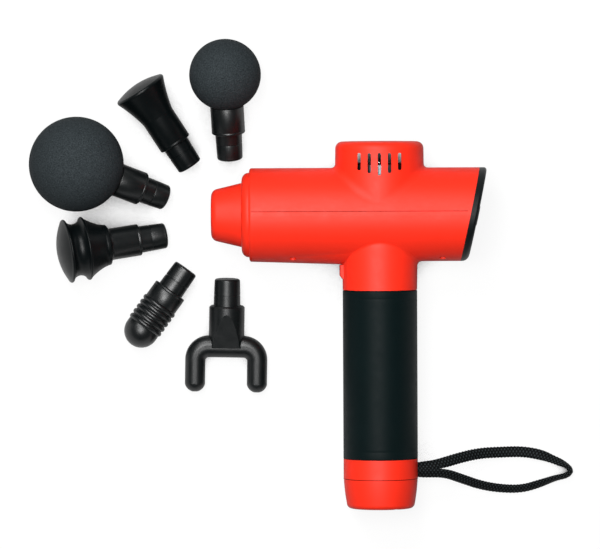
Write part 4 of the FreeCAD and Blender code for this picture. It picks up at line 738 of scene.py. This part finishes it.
grip = {
    "low": -156.5, "high": -48.4, "radius": 23.85, "bore": 22.4,       # mm up the handle from the barrel's axis
    "edge": 0.7, "bandLine": 5.2, "lineDepth": 0.09, "around": 160, "rows": 60,
}


def makeGrip():
    g = grip
    outline = [(g["low"], g["bore"])] + rounding(g["low"] + g["edge"], g["radius"] - g["edge"], g["edge"], 180, 90)
    first, last = g["low"] + g["bandLine"], g["high"] - g["bandLine"]
    outline += [(first - 0.3, g["radius"]), (first, g["radius"] - g["lineDepth"]), (first + 0.3, g["radius"])]
    outline += [(first + (last - first) * k / g["rows"], g["radius"]) for k in range(1, g["rows"])]
    outline += [(last - 0.3, g["radius"]), (last, g["radius"] - g["lineDepth"]), (last + 0.3, g["radius"])]
    outline += rounding(g["high"] - g["edge"], g["radius"] - g["edge"], g["edge"], 90, 0)
    outline += [(g["high"], g["bore"]), (g["low"], g["bore"])]
    form = turnedForm(outline, g["around"])
    piece = finishPiece("gripSleeve", meshFrom(form, "gripSleeve"), "battery_handle", handlePlace)
    standsFor(piece, "grip_sleeve", "matteGripRubber")


makeGrip()

speedButton = {     # mm out from the housing's rear edge
    "flangeBack": 2.3, "flangeFront": 3.1, "face": 5.6, "radius": 6.5, "flange": 7.5,
    "edge": 0.5, "dish": 0.35, "ringWidth": 1.2, "fold": 0.12, "around": 64,
}


def makeSpeedButton():
    b = speedButton
    inner, face = b["radius"] - b["ringWidth"], b["face"]
    outline = [(b["flangeBack"], 0), (b["flangeBack"], b["flange"]), (b["flangeFront"], b["flange"]),
               (b["flangeFront"], b["radius"])]
    outline += rounding(face - b["edge"], b["radius"] - b["edge"], b["edge"], 90, 0, 6)
    outline += arcThrough((face, inner), (face - 0.8 * b["dish"], inner * 0.55), (face - b["dish"], 0), 8)
    form = turnedForm(outline, b["around"], b["fold"])
    piece = finishPiece("speedButton", meshFrom(form, "speedButton"), "speed_button", rearPlace)
    standsFor(piece, "speed_button", "matteSilicone")


makeSpeedButton()

indicators = {      # mm and degrees
    "count": 5, "circle": 13.2, "spread": 104, "radius": 0.9, "topRadius": 0.774, "proud": 0.1, "face": 4.8,
    "rim": 0.04, "around": 28,
}


def makeIndicators():
    # the unlit level lights in the display, flush in its face
    dots = indicators
    form = bmesh.new()
    for k in range(dots["count"]):
        angle = math.radians(270 - dots["spread"] / 2 + dots["spread"] * k / (dots["count"] - 1))
        spot = Vector((dots["face"], dots["circle"] * math.sin(angle), dots["circle"] * math.cos(angle))) * mm
        place = Matrix.Translation(spot) @ Matrix.Rotation(math.radians(90), 4, "Y")
        bmesh.ops.create_cone(form, cap_ends=True, segments=dots["around"], radius1=dots["radius"] * mm,
                              radius2=dots["topRadius"] * mm, depth=2 * dots["proud"] * mm, matrix=place)
    bevelEdges(form, [e for e in form.edges if e.calc_face_angle(0) > math.radians(40)], dots["rim"])
    piece = finishPiece("levelLights", meshFrom(form, "levelLights"), "gun_body", rearPlace)
    setFaces(finishes["clearAcrylic"], piece)


makeIndicators()
print("grip and rear face made")


# ---- Studio ----

studio = {
    "floor": "#F6F6F6",
    "bounce": "#303030",    # what the floor sends back on the pieces from below
    "floorGlow": 0.90,
    "floorSize": 6.0,       # m, half of its side
    "cover": 0.06,          # m, how near the pieces over a spot have to be to darken it
    "openness": (0.22, 0.32),       # share of open sky at which a spot is darkest, and at which it is plain
    "samples": 12,
    "shade": 0.14,          # m, how far round them the floor looks darker in a gloss
    "world": 0.05,
    "backdropTop": 0.2,     # sine of the height up to which the surroundings are white
    "lights": (             # name, place, what it points at, size in m, power in W
        ("topSoftbox", (-0.26, 0.75, 1.10), (0.02, 0.03, 0.0), (0.60, 0.40), 10.0),
        ("overheadSoftbox", (-0.12, 0.10, 1.5), (0.03, 0.0, 0.0), (0.7, 0.7), 24.0),
    ),
}


def areaLight(name, place, aim, size, power):
    data = bpy.data.lights.new(name, "AREA")
    data.shape = "RECTANGLE"
    data.size, data.size_y = size
    data.energy = power
    lamp = bpy.data.objects.new(name, data)
    lamp.location = place
    lamp.rotation_euler = (Vector(aim) - Vector(place)).to_track_quat("-Z", "Y").to_euler()
    bpy.context.scene.collection.objects.link(lamp)


def seenShare(tree):
    # 1 for what the camera, a gloss or clear plastic sees, and 0 for the light that falls on the pieces
    path = addNode(tree, "ShaderNodeLightPath")
    glossy = path.outputs["Is Glossy Ray"]
    seen = addNode(tree, "ShaderNodeMath", {"operation": "MAXIMUM"},
                   {0: path.outputs["Is Camera Ray"], 1: glossy}).outputs[0]
    seen = addNode(tree, "ShaderNodeMath", {"operation": "MAXIMUM"},
                   {0: seen, 1: path.outputs["Is Transmission Ray"]}).outputs[0]
    return seen, glossy


def makeFloor():
    form = bmesh.new()
    bmesh.ops.create_grid(form, x_segments=1, y_segments=1, size=studio["floorSize"])
    floor = bpy.data.objects.new("floor", meshFrom(form, "floor"))
    bpy.context.scene.collection.objects.link(floor)
    material, tree, shader = startMaterial("paleFloor", studio["floor"], 0.9)[:3]
    seen, gloss = seenShare(tree)
    # painted shadow: ambient occlusion darkens the floor's glow and colour where the pieces cover it closely, and
    # near them as seen in a gloss
    covers = [addNode(tree, "ShaderNodeAmbientOcclusion",
                      {"Distance": studio[reach], "samples": studio["samples"]}).outputs["AO"]
              for reach in ("cover", "shade")]
    darkest, plain = studio["openness"]
    under = addNode(tree, "ShaderNodeMapRange", {"From Min": darkest, "From Max": plain},
                    {"Value": covers[0]}).outputs["Result"]
    beside = addNode(tree, "ShaderNodeMath", {"operation": "POWER", 1: 2.0}, {0: covers[1]}).outputs[0]
    light = addNode(tree, "ShaderNodeMix", {}, {0: gloss, 2: under, 3: beside}).outputs[0]
    share = addNode(tree, "ShaderNodeMath", {"operation": "MULTIPLY"}, {0: seen, 1: light}).outputs[0]
    tone = addNode(tree, "ShaderNodeMix", {
        "data_type": "RGBA", 6: toLinear(studio["bounce"]), 7: toLinear(studio["floor"])}, {0: share})
    tree.links.new(tone.outputs[2], shader.inputs["Base Color"])
    share = addNode(tree, "ShaderNodeMath", {"operation": "MULTIPLY", 1: studio["floorGlow"]}, {0: share}).outputs[0]
    glow = addNode(tree, "ShaderNodeEmission", {"Strength": 1.0})
    mix = addNode(tree, "ShaderNodeMixShader", links={0: share, 1: shader.outputs[0], 2: glow.outputs[0]})
    tree.links.new(mix.outputs[0], tree.nodes["Material Output"].inputs["Surface"])
    setFaces(material, floor)


def makeSurroundings():
    # white only near the horizon: side views get a white background, and faces that look up mirror the dark above
    world = bpy.data.worlds.new("studio")
    bpy.context.scene.world = world
    world.use_nodes = True
    tree, back = world.node_tree, world.node_tree.nodes["Background"]
    seen, gloss = seenShare(tree)
    height = addNode(tree, "ShaderNodeSeparateXYZ", {}, {0: addNode(tree, "ShaderNodeTexCoord").outputs["Generated"]})
    band = addNode(tree, "ShaderNodeMapRange", {
        "From Min": studio["backdropTop"], "From Max": 2 * studio["backdropTop"], "To Min": 1.0, "To Max": 0.0},
        {"Value": height.outputs["Z"]}).outputs["Result"]
    white = addNode(tree, "ShaderNodeMath", {"operation": "MULTIPLY"}, {0: seen, 1: band}).outputs[0]
    strength = addNode(tree, "ShaderNodeMapRange", {"To Min": studio["world"], "To Max": 1.0}, {"Value": white})
    tree.links.new(strength.outputs["Result"], back.inputs["Strength"])
    back.inputs["Color"].default_value = (1, 1, 1, 1)
    for light in studio["lights"]:
        areaLight(*light)


makeFloor()
makeSurroundings()
bpy.context.scene.view_settings.view_transform = "Standard"

print("scene ready")
